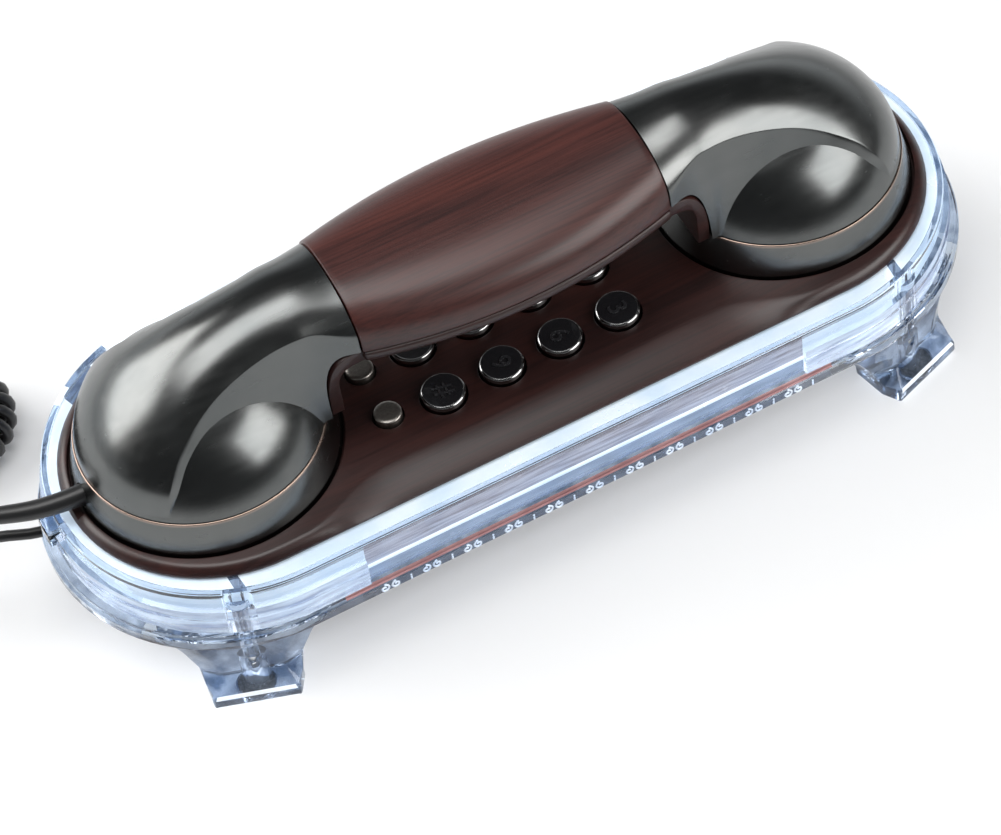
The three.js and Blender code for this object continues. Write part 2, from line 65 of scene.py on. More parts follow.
def make_camera():
    az, el, roll = CAMERA_AZIMUTH, CAMERA_ELEVATION, CAMERA_ROLL
    back = Vector((math.sin(az) * math.cos(el), -math.cos(az) * math.cos(el), math.sin(el)))
    right = Vector((math.cos(az), math.sin(az), 0))
    up = back.cross(right)
    across = right * math.cos(roll) - up * math.sin(roll)
    upward = right * math.sin(roll) + up * math.cos(roll)
    data = bpy.data.cameras.new("camera")
    data.sensor_width = SENSOR
    data.lens = FOCAL_PIXELS / IMAGE_WIDTH * SENSOR
    data.clip_start = 0.01
    data.clip_end = 20
    camera = bpy.data.objects.new("camera", data)
    turn = Matrix((across, upward, back)).transposed().to_4x4()
    camera.matrix_world = Matrix.Translation(CAMERA_TARGET + back * CAMERA_DISTANCE) @ turn
    bpy.context.scene.collection.objects.link(camera)
    bpy.context.scene.camera = camera


# ---------------------------------------------------------------- stage and light
# These lengths are in metres.
FLOOR_HALF = 3
FLOOR_DROP = 0.0002
DIM_ROOM = 0.08
SWEEP_GLOW = 0.95
# Each soft box: place, what it aims at, width, height, watts and tint.
SOFT_BOXES = {
    "left_box": ((-0.62, 0.50, 0.52), (0, 0, 0.05), 0.80, 0.62, 8.8, (1.0, 0.985, 0.965)),
    "right_box": ((0.60, -0.60, 0.60), (0, 0, 0.05), 0.78, 0.60, 7.4, (1.0, 0.99, 0.975)),
    "top_box": ((-0.16, 0.02, 0.88), (-0.16, 0.02, 0), 0.72, 0.48, 5.2, (1.0, 0.99, 0.98)),
}


def make_stage():
    data = bpy.data.meshes.new("floor")
    corners = [(x * FLOOR_HALF, y * FLOOR_HALF, 0) for x, y in ((-1, -1), (1, -1), (1, 1), (-1, 1))]
    data.from_pydata(corners, [], [(0, 1, 2, 3)])
    floor = bpy.data.objects.new("floor", data)
    floor.location.z = -FLOOR_DROP
    bpy.context.scene.collection.objects.link(floor)
    paper = bpy.data.materials.new("white_sweep")
    paper.use_nodes = True
    shader = paper.node_tree.nodes["Principled BSDF"]
    shader.inputs["Base Color"].default_value = (0.69, 0.70, 0.71, 1)
    shader.inputs["Roughness"].default_value = 0.7
    shader.inputs["Specular IOR Level"].default_value = 0.2
    shader.inputs["Emission Color"].default_value = (1.0, 0.99, 0.985, 1)
    shader.inputs["Emission Strength"].default_value = 0.14
    data.materials.append(paper)


def soft_box(name, place, target, width, height, power, tint):
    data = bpy.data.lights.new(name, "AREA")
    data.shape = "RECTANGLE"
    data.size, data.size_y = width, height
    data.energy = power
    data.color = tint
    lamp = bpy.data.objects.new(name, data)
    lamp.location = place
    lamp.rotation_mode = "QUATERNION"
    lamp.rotation_quaternion = (Vector(target) - Vector(place)).to_track_quat("-Z", "Y")
    bpy.context.scene.collection.objects.link(lamp)


def make_world():
    """A dim studio with a bright sweep low down behind the object."""
    world = bpy.data.worlds.new("studio")
    bpy.context.scene.world = world
    world.use_nodes = True
    tree = world.node_tree
    where = tree.nodes.new("ShaderNodeTexCoord")
    axes = tree.nodes.new("ShaderNodeSeparateXYZ")
    tree.links.new(where.outputs["Generated"], axes.inputs[0])

    def ramp(axis, start, end, low, high):
        made = tree.nodes.new("ShaderNodeMapRange")
        made.interpolation_type = "SMOOTHSTEP"
        tree.links.new(axes.outputs[axis], made.inputs["Value"])
        limits = {"From Min": start, "From Max": end, "To Min": low, "To Max": high}
        for socket, value in limits.items():
            made.inputs[socket].default_value = value
        return made.outputs["Result"]

    def math_node(operation, a, b):
        made = tree.nodes.new("ShaderNodeMath")
        made.operation = operation
        for i, value in enumerate((a, b)):
            if isinstance(value, bpy.types.NodeSocket):
                tree.links.new(value, made.inputs[i])
            else:
                made.inputs[i].default_value = value
        return made.outputs[0]

    behind, low_down = ramp("Y", -0.2, 0.6, 0.0, SWEEP_GLOW), ramp("Z", 0.05, 0.4, 1.0, 0.0)
    sweep = math_node("MULTIPLY", behind, low_down)
    total = math_node("ADD", sweep, DIM_ROOM)
    background = tree.nodes["Background"]
    background.inputs["Color"].default_value = (0.95, 0.98, 1.0, 1)
    tree.links.new(total, background.inputs["Strength"])


def make_light():
    make_world()
    for name, settings in SOFT_BOXES.items():
        soft_box(name, *settings)


make_camera()
make_stage()
make_light()
bpy.context.scene.view_settings.view_transform = "Standard"


# ---------------------------------------------------------------- materials
class Recipe:
    """A procedural material: a Principled shader with named node helpers."""

    def __init__(self, name, color, roughness, metallic=0.0, **sockets):
        self.material = bpy.data.materials.new(name)
        self.material.use_nodes = True
        self.tree = self.material.node_tree
        self.shader = self.tree.nodes["Principled BSDF"]
        self.set("Base Color", (*color, 1))
        self.set("Roughness", roughness)
        self.set("Metallic", metallic)
        for socket, value in sockets.items():
            self.set(socket.replace("_", " "), value)

    def set(self, socket, value):
        self.shader.inputs[socket].default_value = value

    def node(self, kind, links=None, **settings):
        made = self.tree.nodes.new("ShaderNode" + kind)
        for key, value in settings.items():
            setattr(made, key, value)
        for socket, value in (links or {}).items():
            if isinstance(value, bpy.types.NodeSocket):
                self.tree.links.new(value, made.inputs[socket])
            else:
                made.inputs[socket].default_value = value
        return made

    def place(self, stretch=(1, 1, 1)):
        where = self.node("TexCoord").outputs["Object"]
        return self.node("Mapping", {"Vector": where, "Scale": stretch}).outputs["Vector"]

    def noise(self, scale, stretch=(1, 1, 1), detail=4.0, distortion=0.0, rough=0.5):
        return self.node("TexNoise", {"Vector": self.place(stretch), "Scale": scale, "Detail": detail,
                                      "Distortion": distortion, "Roughness": rough}).outputs["Fac"]

    def levels(self, value, low, high, start=0.0, end=1.0):
        return self.node("MapRange", {"Value": value, "From Min": start, "From Max": end,
                                      "To Min": low, "To Max": high}).outputs["Result"]

    def ramp(self, value, stops):
        made = self.node("ValToRGB", {"Fac": value})
        points = made.color_ramp.elements
        while len(points) < len(stops):
            points.new(0.5)
        for point, (where, color) in zip(points, stops):
            point.position = where
            point.color = (*color, 1)
        return made.outputs["Color"]

    def mix(self, share, a, b):
        made = self.tree.nodes.new("ShaderNodeMix")
        made.data_type = "RGBA"
        for index, value in ((0, share), (6, a), (7, b)):
            if isinstance(value, bpy.types.NodeSocket):
                self.tree.links.new(value, made.inputs[index])
            elif index:
                made.inputs[index].default_value = (*value, 1)
            else:
                made.inputs[index].default_value = value
        return made.outputs[2]

    def color(self, socket):
        self.tree.links.new(socket, self.shader.inputs["Base Color"])

    def rough(self, socket):
        self.tree.links.new(socket, self.shader.inputs["Roughness"])

    def bump(self, height, strength, distance=0.0002, soften=0.0):
        """Surface relief. Its distance and the radius of the softened edges are in metres."""
        links = {"Height": height, "Strength": strength, "Distance": distance}
        if soften:
            links["Normal"] = self.node("Bevel", {"Radius": soften}, samples=4).outputs["Normal"]
        made = self.node("Bump", links)
        self.tree.links.new(made.outputs["Normal"], self.shader.inputs["Normal"])


def wood(name, depth):
    """Printed wood grain along X. The depth scales its colours: 0.8 gives the wood's own tone, and the
    darker copy at 0.42 is painted shade for wood that lies in the handset's shade.
    """
    def tint(*color):
        return tuple(depth * c for c in color)

    m = Recipe(name, tint(0.058, 0.016, 0.014), 0.36, Coat_Weight=0.12, Coat_Roughness=0.2)
    bands = m.noise(14, (0.9, 9, 9), 3, 0.6)
    streaks = m.noise(60, (0.55, 26, 26), 5, 0.2, 0.65)
    pores = m.noise(120, (0.6, 40, 40), 3)
    tone = m.ramp(bands, [(0.30, tint(0.026, 0.008, 0.008)), (0.5, tint(0.055, 0.015, 0.013)),
                          (0.70, tint(0.098, 0.026, 0.020))])
    dark = m.ramp(streaks, [(0.40, tint(0.012, 0.005, 0.005)), (0.56, tint(0.074, 0.020, 0.016))])
    m.color(m.mix(0.4, tone, dark))
    m.rough(m.levels(streaks, 0.30, 0.44))
    m.bump(pores, 0.10, soften=0.0004)
    return m.material


def gunmetal(name="gunmetal", edge=None):
    m = Recipe(name, (0.13, 0.13, 0.13), 0.22, 1.0, Anisotropic=0.35)
    hair = m.noise(500, (0.12, 1, 1), 4)
    cloud = m.noise(45, (1, 1, 1), 3)
    tone = m.ramp(cloud, [(0.3, (0.112, 0.119, 0.120)), (0.7, (0.148, 0.152, 0.150))])
    # With heights given, a painted warm reflection of the wood is mixed in, growing to full at the upper
    # height.
    if edge:
        height = m.node("SeparateXYZ", {"Vector": m.place()}).outputs["Z"]
        low, high = edge
        glow = m.levels(height, 0, 1, low * MM, high * MM)
        tone = m.mix(glow, tone, (0.34, 0.26, 0.22))
    m.color(tone)
    m.rough(m.levels(hair, 0.17, 0.32))
    m.bump(hair, 0.05, 0.00005)
    return m.material


def chrome():
    m = Recipe("key_bezel", (0.36, 0.36, 0.36), 0.16, 1.0)
    scuff = m.noise(900, (1, 1, 1), 3)
    m.rough(m.levels(scuff, 0.08, 0.22))
    return m.material


def key_top():
    m = Recipe("key_black", (0.012, 0.012, 0.014), 0.16, Coat_Weight=0.6, Coat_Roughness=0.05)
    dust = m.noise(1500, (1, 1, 1), 4)
    m.rough(m.levels(dust, 0.12, 0.30))
    m.bump(dust, 0.04, 0.00005)
    return m.material


def bronze():
    m = Recipe("warm_grey_metal", (0.34, 0.32, 0.30), 0.30, 1.0)
    grain = m.noise(1800, (1, 1, 1), 4)
    m.color(m.ramp(grain, [(0.3, (0.30, 0.28, 0.26)), (0.7, (0.42, 0.40, 0.37))]))
    m.rough(m.levels(grain, 0.26, 0.44))
    m.bump(grain, 0.06, 0.00005)
    return m.material


def clear(name, tint, frost):
    m = Recipe(name, tint, frost, Transmission_Weight=1.0, IOR=1.49)
    waves = m.noise(60, (1, 1, 1), 2)
    m.rough(m.levels(waves, frost, frost + 0.03))
    m.bump(waves, 0.08, 0.0004)
    return m.material


def plastic(name, color, roughness):
    m = Recipe(name, color, roughness)
    speck = m.noise(2200, (1, 1, 1), 3)
    darker = tuple(0.8 * c for c in color)
    lighter = tuple(1.2 * c + 0.002 for c in color)
    m.color(m.ramp(speck, [(0.3, darker), (0.7, lighter)]))
    m.rough(m.levels(speck, roughness - 0.06, roughness + 0.08))
    m.bump(speck, 0.12, 0.00006)
    return m.material


def granules():
    m = Recipe("granular_rubber", (0.03, 0.03, 0.032), 0.75)
    cells = m.node("TexVoronoi", {"Vector": m.place(), "Scale": 1500.0}).outputs["Distance"]
    m.color(m.ramp(cells, [(0.1, (0.07, 0.07, 0.075)), (0.6, (0.008, 0.008, 0.009))]))
    m.bump(cells, 0.7, 0.0003)
    return m.material


def steel():
    m = Recipe("zinc_steel", (0.58, 0.59, 0.60), 0.32, 1.0)
    rub = m.noise(700, (1, 1, 0.2), 4)
    m.rough(m.levels(rub, 0.2, 0.45))
    m.bump(rub, 0.05, 0.00005)
    return m.material


def board():
    m = Recipe("solder_mask", (0.03, 0.13, 0.05), 0.35)
    tracks = m.node("TexBrick", {
        "Vector": m.place(), "Scale": 170.0, "Color1": (0.02, 0.10, 0.04, 1),
        "Color2": (0.03, 0.14, 0.055, 1), "Mortar": (0.10, 0.30, 0.14, 1), "Mortar Size": 0.05})
    m.color(tracks.outputs["Color"])
    m.rough(m.levels(m.noise(900), 0.3, 0.5))
    return m.material


def cord_skin():
    m = Recipe("satin_cord", (0.012, 0.012, 0.013), 0.36)
    speck = m.noise(2600, (1, 1, 1), 3)
    m.rough(m.levels(speck, 0.28, 0.44))
    m.bump(speck, 0.05, 0.00005)
    return m.material


def cone_paper():
    m = Recipe("speaker_paper", (0.03, 0.03, 0.032), 0.85)
    fibre = m.noise(900, (1, 1, 1), 6)
    m.color(m.ramp(fibre, [(0.3, (0.018, 0.018, 0.019)), (0.7, (0.06, 0.058, 0.056))]))
    m.bump(fibre, 0.4, 0.0002)
    return m.material


def band(name, dark, light, transmission, roughness, glow, stretch):
    """A face of a clear piece, painted with the reflections and shade that the clear moulding shows, and
    with a painted glow where one is given.
    """
    m = Recipe(name, light, roughness, Transmission_Weight=transmission, IOR=1.49)
    if glow:
        m.set("Emission Color", (0.80, 0.90, 1.0, 1))
        m.set("Emission Strength", glow)
    cloud = m.noise(90, stretch, 4)
    m.color(m.ramp(cloud, [(0.35, dark), (0.65, light)]))
    m.rough(m.levels(cloud, 0.7 * roughness, 1.3 * roughness))
    m.bump(cloud, 0.06, 0.0003)
    return m.material


# Faces of the clear pieces, painted with the reflections, shade, highlights and glows that the moulding
# shows:
# material name, dark and light colour, transmission, roughness, painted glow, and how much the cloud
# between the two colours is squeezed along X, Y and Z.
EVEN = (1, 1, 1)
CLEAR_FACES = {
    "frosted_glow": ("scroll_relief_painted_glow", (0.62, 0.74, 0.92), (0.85, 0.92, 1.0), 0.2, 0.25, 0.12, EVEN),
    "flange_glow": ("flange_and_bead_painted_glow", (0.62, 0.78, 0.95), (0.80, 0.91, 1.0), 0.25, 0.25, 0.22, EVEN),
    "upper_wall_reflection": ("upper_wall_painted_reflection", (0.17, 0.14, 0.17), (0.50, 0.48, 0.58), 0.8, 0.12, 0, (1, 14, 14)),
    "slate": ("lower_wall_painted_reflection", (0.13, 0.18, 0.28), (0.24, 0.31, 0.47), 0.7, 0.12, 0, (1, 6, 6)),
    "painted_dark": ("dark_reflection_edge", (0.13, 0.18, 0.28), (0.22, 0.29, 0.42), 0.6, 0.08, 0, (1, 3, 3)),
    "rosy": ("step_painted_wood_reflection", (0.42, 0.20, 0.20), (0.62, 0.34, 0.33), 0.4, 0.15, 0, EVEN),
    "facet": ("foot_painted_reflection", (0.05, 0.09, 0.18), (0.60, 0.73, 0.93), 0.9, 0.03, 0, (1.6, 1.6, 1.6)),
    "end_reflection": ("end_wall_painted_reflection", (0.26, 0.29, 0.42), (0.84, 0.90, 1.0), 0.85, 0.08, 0, (1, 1, 9)),
    "white": ("rim_painted_highlight", (0.84, 0.91, 0.97), (0.95, 0.98, 1.0), 0.3, 0.2, 0.4, EVEN),
}

# Heights between which a painted warm reflection of the wood is mixed into the collar's metal, growing
# towards its edge.
COLLAR_WOOD_REFLECTION = (46.2, 46.9)

# Each look: its material and its slot in the record.
LOOKS = {
    "wood": (wood("mahogany_film", 0.8), "wood"),
    # Painted shade: the same printed grain, dimmed for the wooden top, whose deck lies under the handset,
    # and for the handset's lower shell.
    "painted_shade_wood": (wood("mahogany_film_painted_shade", 0.42), "wood"),
    "gunmetal": (gunmetal(), "gunmetal"),
    # The collar's metal, with a painted warm reflection of the wood along its top edge.
    "collar": (gunmetal("collar_metal_painted_reflection", COLLAR_WOOD_REFLECTION), "gunmetal"),
    "chrome": (chrome(), "gunmetal"),
    "key": (key_top(), "key_black"),
    "mark": (plastic("mark_ink", (0.022, 0.022, 0.025), 0.25), "key_black"),
    "bronze": (bronze(), "key_bronze"),
    "clear": (clear("clear_moulding", (0.80, 0.89, 1.0), 0.02), "clear_acrylic"),
    "brown": (plastic("brown_moulding", (0.035, 0.014, 0.013), 0.45), "dark_brown"),
    "black": (plastic("black_moulding", (0.012, 0.012, 0.013), 0.45), "black_plastic"),
    "rubber": (granules(), "pad_rubber"),
    "steel": (steel(), "steel"),
    "board": (board(), "circuit_board"),
    "cone": (cone_paper(), "speaker_paper"),
    "cord": (cord_skin(), "cord_rubber"),
}
LOOKS.update({look: (band(*recipe), "clear_acrylic") for look, recipe in CLEAR_FACES.items()})


# ---------------------------------------------------------------- mesh helpers
def add_mesh(name, verts, faces, origin=(0, 0, 0)):
    """A mesh object from points in millimetres, with its origin at the given point."""
    at = Vector(origin)
    data = bpy.data.meshes.new(name)
    data.from_pydata([(Vector(v) - at) * MM for v in verts], [], faces)
    shape = bmesh.new()
    shape.from_mesh(data)
    bmesh.ops.remove_doubles(shape, verts=shape.verts, dist=1e-7)
    bmesh.ops.recalc_face_normals(shape, faces=shape.faces)
    shape.to_mesh(data)
    shape.free()
    obj = bpy.data.objects.new(name, data)
    obj.location = at * MM
    bpy.context.scene.collection.objects.link(obj)
    bpy.context.view_layer.update()
    return obj


def loft(name, rings, closed=False):
    """Skin over rings with the same number of points: with flat ends, or joined end to start."""
    n = len(rings[0])
    faces = []
    for i in range(len(rings) if closed else len(rings) - 1):
        a, b = i * n, (i + 1) % len(rings) * n
        faces += [(a + k, a + (k + 1) % n, b + (k + 1) % n, b + k) for k in range(n)]
    verts = [p for ring in rings for p in ring]
    if not closed:
        faces += [tuple(range(n)), tuple(range(len(verts) - n, len(verts)))]
    return add_mesh(name, verts, faces)


def turned(name, profile, x=0.0, y=0.0, steps=96):
    """A body turned about a vertical axis. Its profile starts and ends on the axis, or closes."""
    verts, rows = [], []
    for r, z in profile:
        if r < 1e-6:
            rows.append([len(verts)] * steps)
            verts.append((x, y, z))
        else:
            rows.append([len(verts) + k for k in range(steps)])
            verts += [(x + r * math.cos(math.tau * k / steps), y + r * math.sin(math.tau * k / steps), z)
                      for k in range(steps)]
    ends = rows[1:] + rows[:1] if profile[0][0] > 1e-6 else rows[1:]
    faces = []
    for a, b in zip(rows, ends):
        for k in range(steps):
            m = (k + 1) % steps
            face = list(dict.fromkeys((a[k], a[m], b[m], b[k])))
            if len(face) > 2:
                faces.append(face)
    return add_mesh(name, verts, faces, (x, y, 0))


def fillet(points, radius, steps=4, closed=True):
    """The outline with its corners rounded. A point may carry its own radius as a third number."""
    out, n = [], len(points)
    for i, point in enumerate(points):
        here = Vector(point[:2])
        if not closed and i in (0, n - 1):
            out.append(tuple(here))
            continue
        r = point[2] if len(point) > 2 else radius
        before, after = Vector(points[i - 1][:2]) - here, Vector(points[(i + 1) % n][:2]) - here
        reach = min(r, before.length * 0.45, after.length * 0.45)
        if reach < 1e-4:
            out.append(tuple(here))
            continue
        a, b = here + before.normalized() * reach, here + after.normalized() * reach
        for s in range(steps + 1):
            t = s / steps
            out.append(tuple(a * (1 - t) ** 2 + here * 2 * t * (1 - t) + b * t ** 2))
    return out


def stadium(half_length, radius, arc=32, straight=28):
    """Points round a rectangle with round ends, starting at the front right corner of the straight."""
    c = half_length - radius
    out = []
    for side in (1, -1):
        for k in range(arc):
            a = math.pi * (k / arc - 0.5)
            out.append((side * (c + radius * math.cos(a)), side * radius * math.sin(a)))
        for k in range(straight):
            out.append((side * (c - 2 * c * k / straight), side * radius))
    return out


def prism(name, outline, z0, z1):
    return loft(name, [[(x, y, z) for x, y in outline] for z in (z0, z1)])


def slab(x0, x1, y0, y1, z0, z1):
    return prism("tool", [(x0, y0), (x1, y0), (x1, y1), (x0, y1)], z0, z1)


def rod(radius, z0, z1, x=0.0, y=0.0, steps=48):
    return turned("tool", [(0, z0), (radius, z0), (radius, z1), (0, z1)], x, y, steps)


def settle(obj):
    """Applies the modifiers."""
    graph = bpy.context.evaluated_depsgraph_get()
    data = bpy.data.meshes.new_from_object(obj.evaluated_get(graph))
    obj.modifiers.clear()
    obj.data = data


def combine(obj, tools, operation):
    for tool in tools:
        step = obj.modifiers.new("step", "BOOLEAN")
        step.operation = operation
        step.solver = "MANIFOLD"
        step.object = tool
        settle(obj)
        bpy.data.objects.remove(tool, do_unlink=True)
    return obj


def cut(obj, *tools):
    return combine(obj, tools, "DIFFERENCE")


def join(obj, *tools):
    return combine(obj, tools, "UNION")


def soften(obj, width, segments=2, angle=35):
    step = obj.modifiers.new("edges", "BEVEL")
    step.width = width * MM
    step.segments = segments
    step.limit_method = "ANGLE"
    step.angle_limit = math.radians(angle)
    settle(obj)
    return obj


def hand_over(obj, body, look, *stands_for, angle=35):
    """Gives a finished piece its material, its body and the CAD nodes that it stands for."""
    material, slot = LOOKS[look]
    obj.data.shade_smooth()
    obj.data.set_sharp_from_angle(angle=math.radians(angle))
    obj.data.materials.clear()
    obj.data.materials.append(material)
    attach(obj, body)
    if stands_for:
        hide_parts(*stands_for)
    return obj


def second_look(obj, look, test):
    """Gives the faces that pass the test another material. It sees their centre and narrowness."""
    obj.data.materials.append(LOOKS[look][0])
    index = len(obj.data.materials) - 1
    for face in obj.data.polygons:
        corners = [obj.data.vertices[i].co for i in face.vertices]
        longest = max((a - b).length for a, b in zip(corners, corners[1:] + corners[:1]))
        if test(obj.matrix_world @ face.center / MM, face.area / longest ** 2):
            face.material_index = index


def blend(a, b, t):
    return a + (b - a) * t


def smooth(t):
    t = min(1.0, max(0.0, t))
    return t * t * (3 - 2 * t)


def spread(a, b, count):
    return [blend(a, b, i / count) for i in range(count + 1)]


# ---------------------------------------------------------------- sizes taken from the frame
def span(node):
    low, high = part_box(node)
    return low / MM, high / MM


GAP = 0.3                 # between two pieces that touch
WALL = 2.2                # of the grip and the wooden body
collar_low, collar_high = span("earpiece_collar")
grip_low, grip_high = span("grip_cover")
CUP_X = (collar_low.x + collar_high.x) / 2
CAP_BASE = collar_high.z + GAP
CAP_R = 28.56
DOME_H = 20.0
SEAM_X = grip_high.x + GAP
SEAM_GAP = 0.22
LIP_Z = grip_low.z
CHEEK_X = span("handset_lower_shell")[1].x
PIVOT_X = 50.0


# ---------------------------------------------------------------- handset: wooden grip
GRIP_MID_W, GRIP_END_W = 21.9, 16.0
GRIP_MID_TOP, GRIP_END_TOP = 76.5, 77.2
GRIP_ROUND = 2.45


def grip_width(x):
    return blend(GRIP_MID_W, GRIP_END_W, (x / SEAM_X) ** 2)


def grip_ring(x, inset, foot):
    w = grip_width(x) - inset
    top = blend(GRIP_MID_TOP, GRIP_END_TOP, (x / SEAM_X) ** 2) - inset
    ring = []
    for k in range(61):
        a = math.pi * k / 60
        c, s = math.cos(a), math.sin(a)
        ring.append((x, math.copysign(w * abs(c) ** (2 / GRIP_ROUND), c),
                     LIP_Z + (top - LIP_Z) * max(s, 0.0) ** (2 / GRIP_ROUND)))
    return ring + [(x, -w, foot), (x, w, foot)]


def make_grip():
    end = SEAM_X - SEAM_GAP
    cover = loft("grip_shell", [grip_ring(x, 0, LIP_Z - 0.01) for x in spread(-end, end, 48)])
    soften(cover, 0.25, 2, 50)
    hollow = loft("tool", [grip_ring(x, WALL, LIP_Z - 4) for x in spread(-end - 1, end + 1, 16)])
    cut(cover, hollow)
    hand_over(cover, "handset", "wood", "grip_cover", angle=40)


# ---------------------------------------------------------------- handset: wooden lower shell
SHELL_CORNER = (7.0, 14.0)     # how far in and how far down each cheek's curve reaches
SHELL_FLOOR = 3.5
CHEEK_DEPTH = 3.0
BAND_HALF = 15.2
SCREW_X = 20.0


def cheek_curve(edge, top):
    """The curve from under the grip, down to the outer face of a cheek."""
    reach, drop = SHELL_CORNER
    steps = spread(0, 1, 12)
    return [(edge - reach * (1 - t) ** 2, top - drop * t * t) for t in steps]


def shell_outline():
    top, foot, inner = LIP_Z - GAP, CAP_BASE + 0.2, CHEEK_X - CHEEK_DEPTH
    floor = top - SHELL_FLOOR
    inside = fillet([(CHEEK_X, foot, 0.1), (inner, foot, 0.2), (inner, floor, 5.0), (0, floor)],
                    0.2, 8, False)
    right = cheek_curve(CHEEK_X, top) + inside[:-1]
    return right + [(-x, z) for x, z in reversed(right)]


def make_lower_shell():
    outline = shell_outline()
    band = loft("handset_lower_body", [[(x, y, z) for x, z in outline] for y in (-BAND_HALF, BAND_HALF)])
    soften(band, 0.5, 3, 60)
    end = SEAM_X - SEAM_GAP
    side = [(x, -grip_width(x) - 0.5) for x in spread(-end, end, 40)]
    plate = prism("plate", side + [(-x, -y) for x, y in side], LIP_Z - 2.8, LIP_Z - GAP)
    soften(plate, 0.6, 3, 50)
    join(band, plate)
    for x in (-SCREW_X, SCREW_X):
        cut(band, rod(1.6, LIP_Z - 9, LIP_Z + 3, x), rod(3.0, LIP_Z - 9, LIP_Z - 2.2, x))
    # The lower shell takes the wood with painted shade.
    hand_over(band, "handset", "painted_shade_wood", "handset_lower_shell")


# ---------------------------------------------------------------- screws
def screw(name, node, body, head_r, head_z, head_h, shank_r, tip_z, x, y):
    """A pan-head screw whose cross recess looks down from head_z."""
    up = 1 if tip_z > head_z else -1
    outline = fillet([(0, head_z), (head_r, head_z, 0.7), (head_r, head_z + up * head_h, 0.1),
                      (shank_r, head_z + up * head_h, 0.1), (shank_r, tip_z - up * 1.2, 0.1),
                      (shank_r * 0.4, tip_z), (0, tip_z)], 0.1, 4, False)
    body_mesh = turned(name, outline, x, y, 32)
    arm, slot_w, depth = head_r * 0.55, head_r * 0.13, head_h * 0.6
    z0, z1 = sorted((head_z - up, head_z + up * depth))
    cut(body_mesh, slab(x - arm, x + arm, y - slot_w, y + slot_w, z0, z1))
    cut(body_mesh, slab(x - slot_w, x + slot_w, y - arm, y + arm, z0, z1))
    hand_over(body_mesh, body, "steel", node)


# ---------------------------------------------------------------- handset: metal caps
# Stations of the neck stand across it, and past PIVOT_X they turn about that line down to the collar.
# HOOD_EDGE: lean in degrees, half-width and height of the edge between the neck's side and its back.
NECK_TOP = 31.0
NECK_ROUND = 1.8
EDGE_ROUNDS = 2
HOOD_EDGE = ((0, 11.9, 25.7), (15, 11.4, 26.0), (30, 11.8, 27.5), (40, 12.6, 29.4), (50, 13.8, 31.8),
             (60, 15.8, 34.7), (70, 18.7, 38.1), (80, 21.5, 40.5), (90, 22.4, 41.7))


def table(rows, at):
    """The later columns of a table at a value of its first column, on smooth curves."""
    i = max(k for k in range(len(rows) - 1) if rows[k][0] <= at or k == 0)
    a, b = rows[i], rows[i + 1]
    before, after = rows[max(i - 1, 0)], rows[min(i + 2, len(rows) - 1)]
    width = b[0] - a[0]
    t = (at - a[0]) / width
    out = []
    for c in range(1, len(a)):
        start = (b[c] - before[c]) / (b[0] - before[0]) * width
        end = (after[c] - a[c]) / (after[0] - a[0]) * width
        out.append(a[c] * (1 + 2 * t) * (1 - t) ** 2 + start * t * (1 - t) ** 2
                   + b[c] * t * t * (3 - 2 * t) - end * t * t * (1 - t))
    return out


def neck_section(phi, t):
    """Sizes of a station that leans phi from upright. t goes from 0 at the seam to 1 at the pivot."""
    reach = CUP_X + CAP_R - PIVOT_X
    back = ((math.sin(phi) / reach) ** NECK_ROUND
            + (max(math.cos(phi), 0) / NECK_TOP) ** NECK_ROUND) ** (-1 / NECK_ROUND)
    half, shoulder = table(HOOD_EDGE, math.degrees(phi))
    return {
        "foot": blend(18.0, 16.0, t),
        "half": blend(15.6, half, t),
        "shoulder": blend(21.0, shoulder, t),
        "top": blend(GRIP_END_TOP - CAP_BASE, back, t),
        "arc": blend(0.35, 1.0, t),
    }


def neck_ring(side, x, phi, t, inset):
    s = neck_section(phi, t)
    half, top, foot = s["half"] - inset, s["top"] - inset, s["foot"] - inset
    shoulder = s["shoulder"]
    height = top - shoulder
    radius = (half ** 2 + height ** 2) / (2 * height)
    base = math.sqrt(radius ** 2 - half ** 2) if height < half else 0.0

    def put(y, r):
        return side * (x + r * math.sin(phi)), y, CAP_BASE + r * math.cos(phi)

    def over(k):
        """A round back at the seam, turning into an arc with an edge on each side."""
        a = math.pi * k / 40
        y, lift = half * math.cos(a), height * math.sin(a)
        if height < half:
            turn = math.asin(half / radius) * math.cos(a)
            y = blend(y, radius * math.sin(turn), s["arc"])
            lift = blend(lift, radius * math.cos(turn) - base, s["arc"])
        return y, shoulder + lift

    rise = [(blend(foot, half, k / 14), blend(0.4, shoulder, k / 14)) for k in range(14)]
    outline = rise + [over(k) for k in range(41)] + [(-y, r) for y, r in reversed(rise)]
    for _ in range(EDGE_ROUNDS):
        inner = [((a[0] + 2 * b[0] + c[0]) / 4, (a[1] + 2 * b[1] + c[1]) / 4)
                 for a, b, c in zip(outline, outline[1:], outline[2:])]
        outline = outline[:1] + inner + outline[-1:]
    return [put(y, r) for y, r in outline]


def neck_share(u):
    """From 0 at the seam, where it carries on the grip's taper, to a level 1 at the pivot."""
    return 0.92 * u * (1 - u) ** 2 + u * u * (3 - 2 * u)


def neck(side, inset):
    start = SEAM_X - 1 if inset else SEAM_X + SEAM_GAP
    rings = [neck_ring(side, x, 0, neck_share((x - SEAM_X) / (PIVOT_X - SEAM_X)), inset)
             for x in spread(start, PIVOT_X, 16)]
    rings += [neck_ring(side, PIVOT_X, math.pi / 2 * k / 56, 1, inset) for k in range(1, 57)]
    return loft("neck", rings)


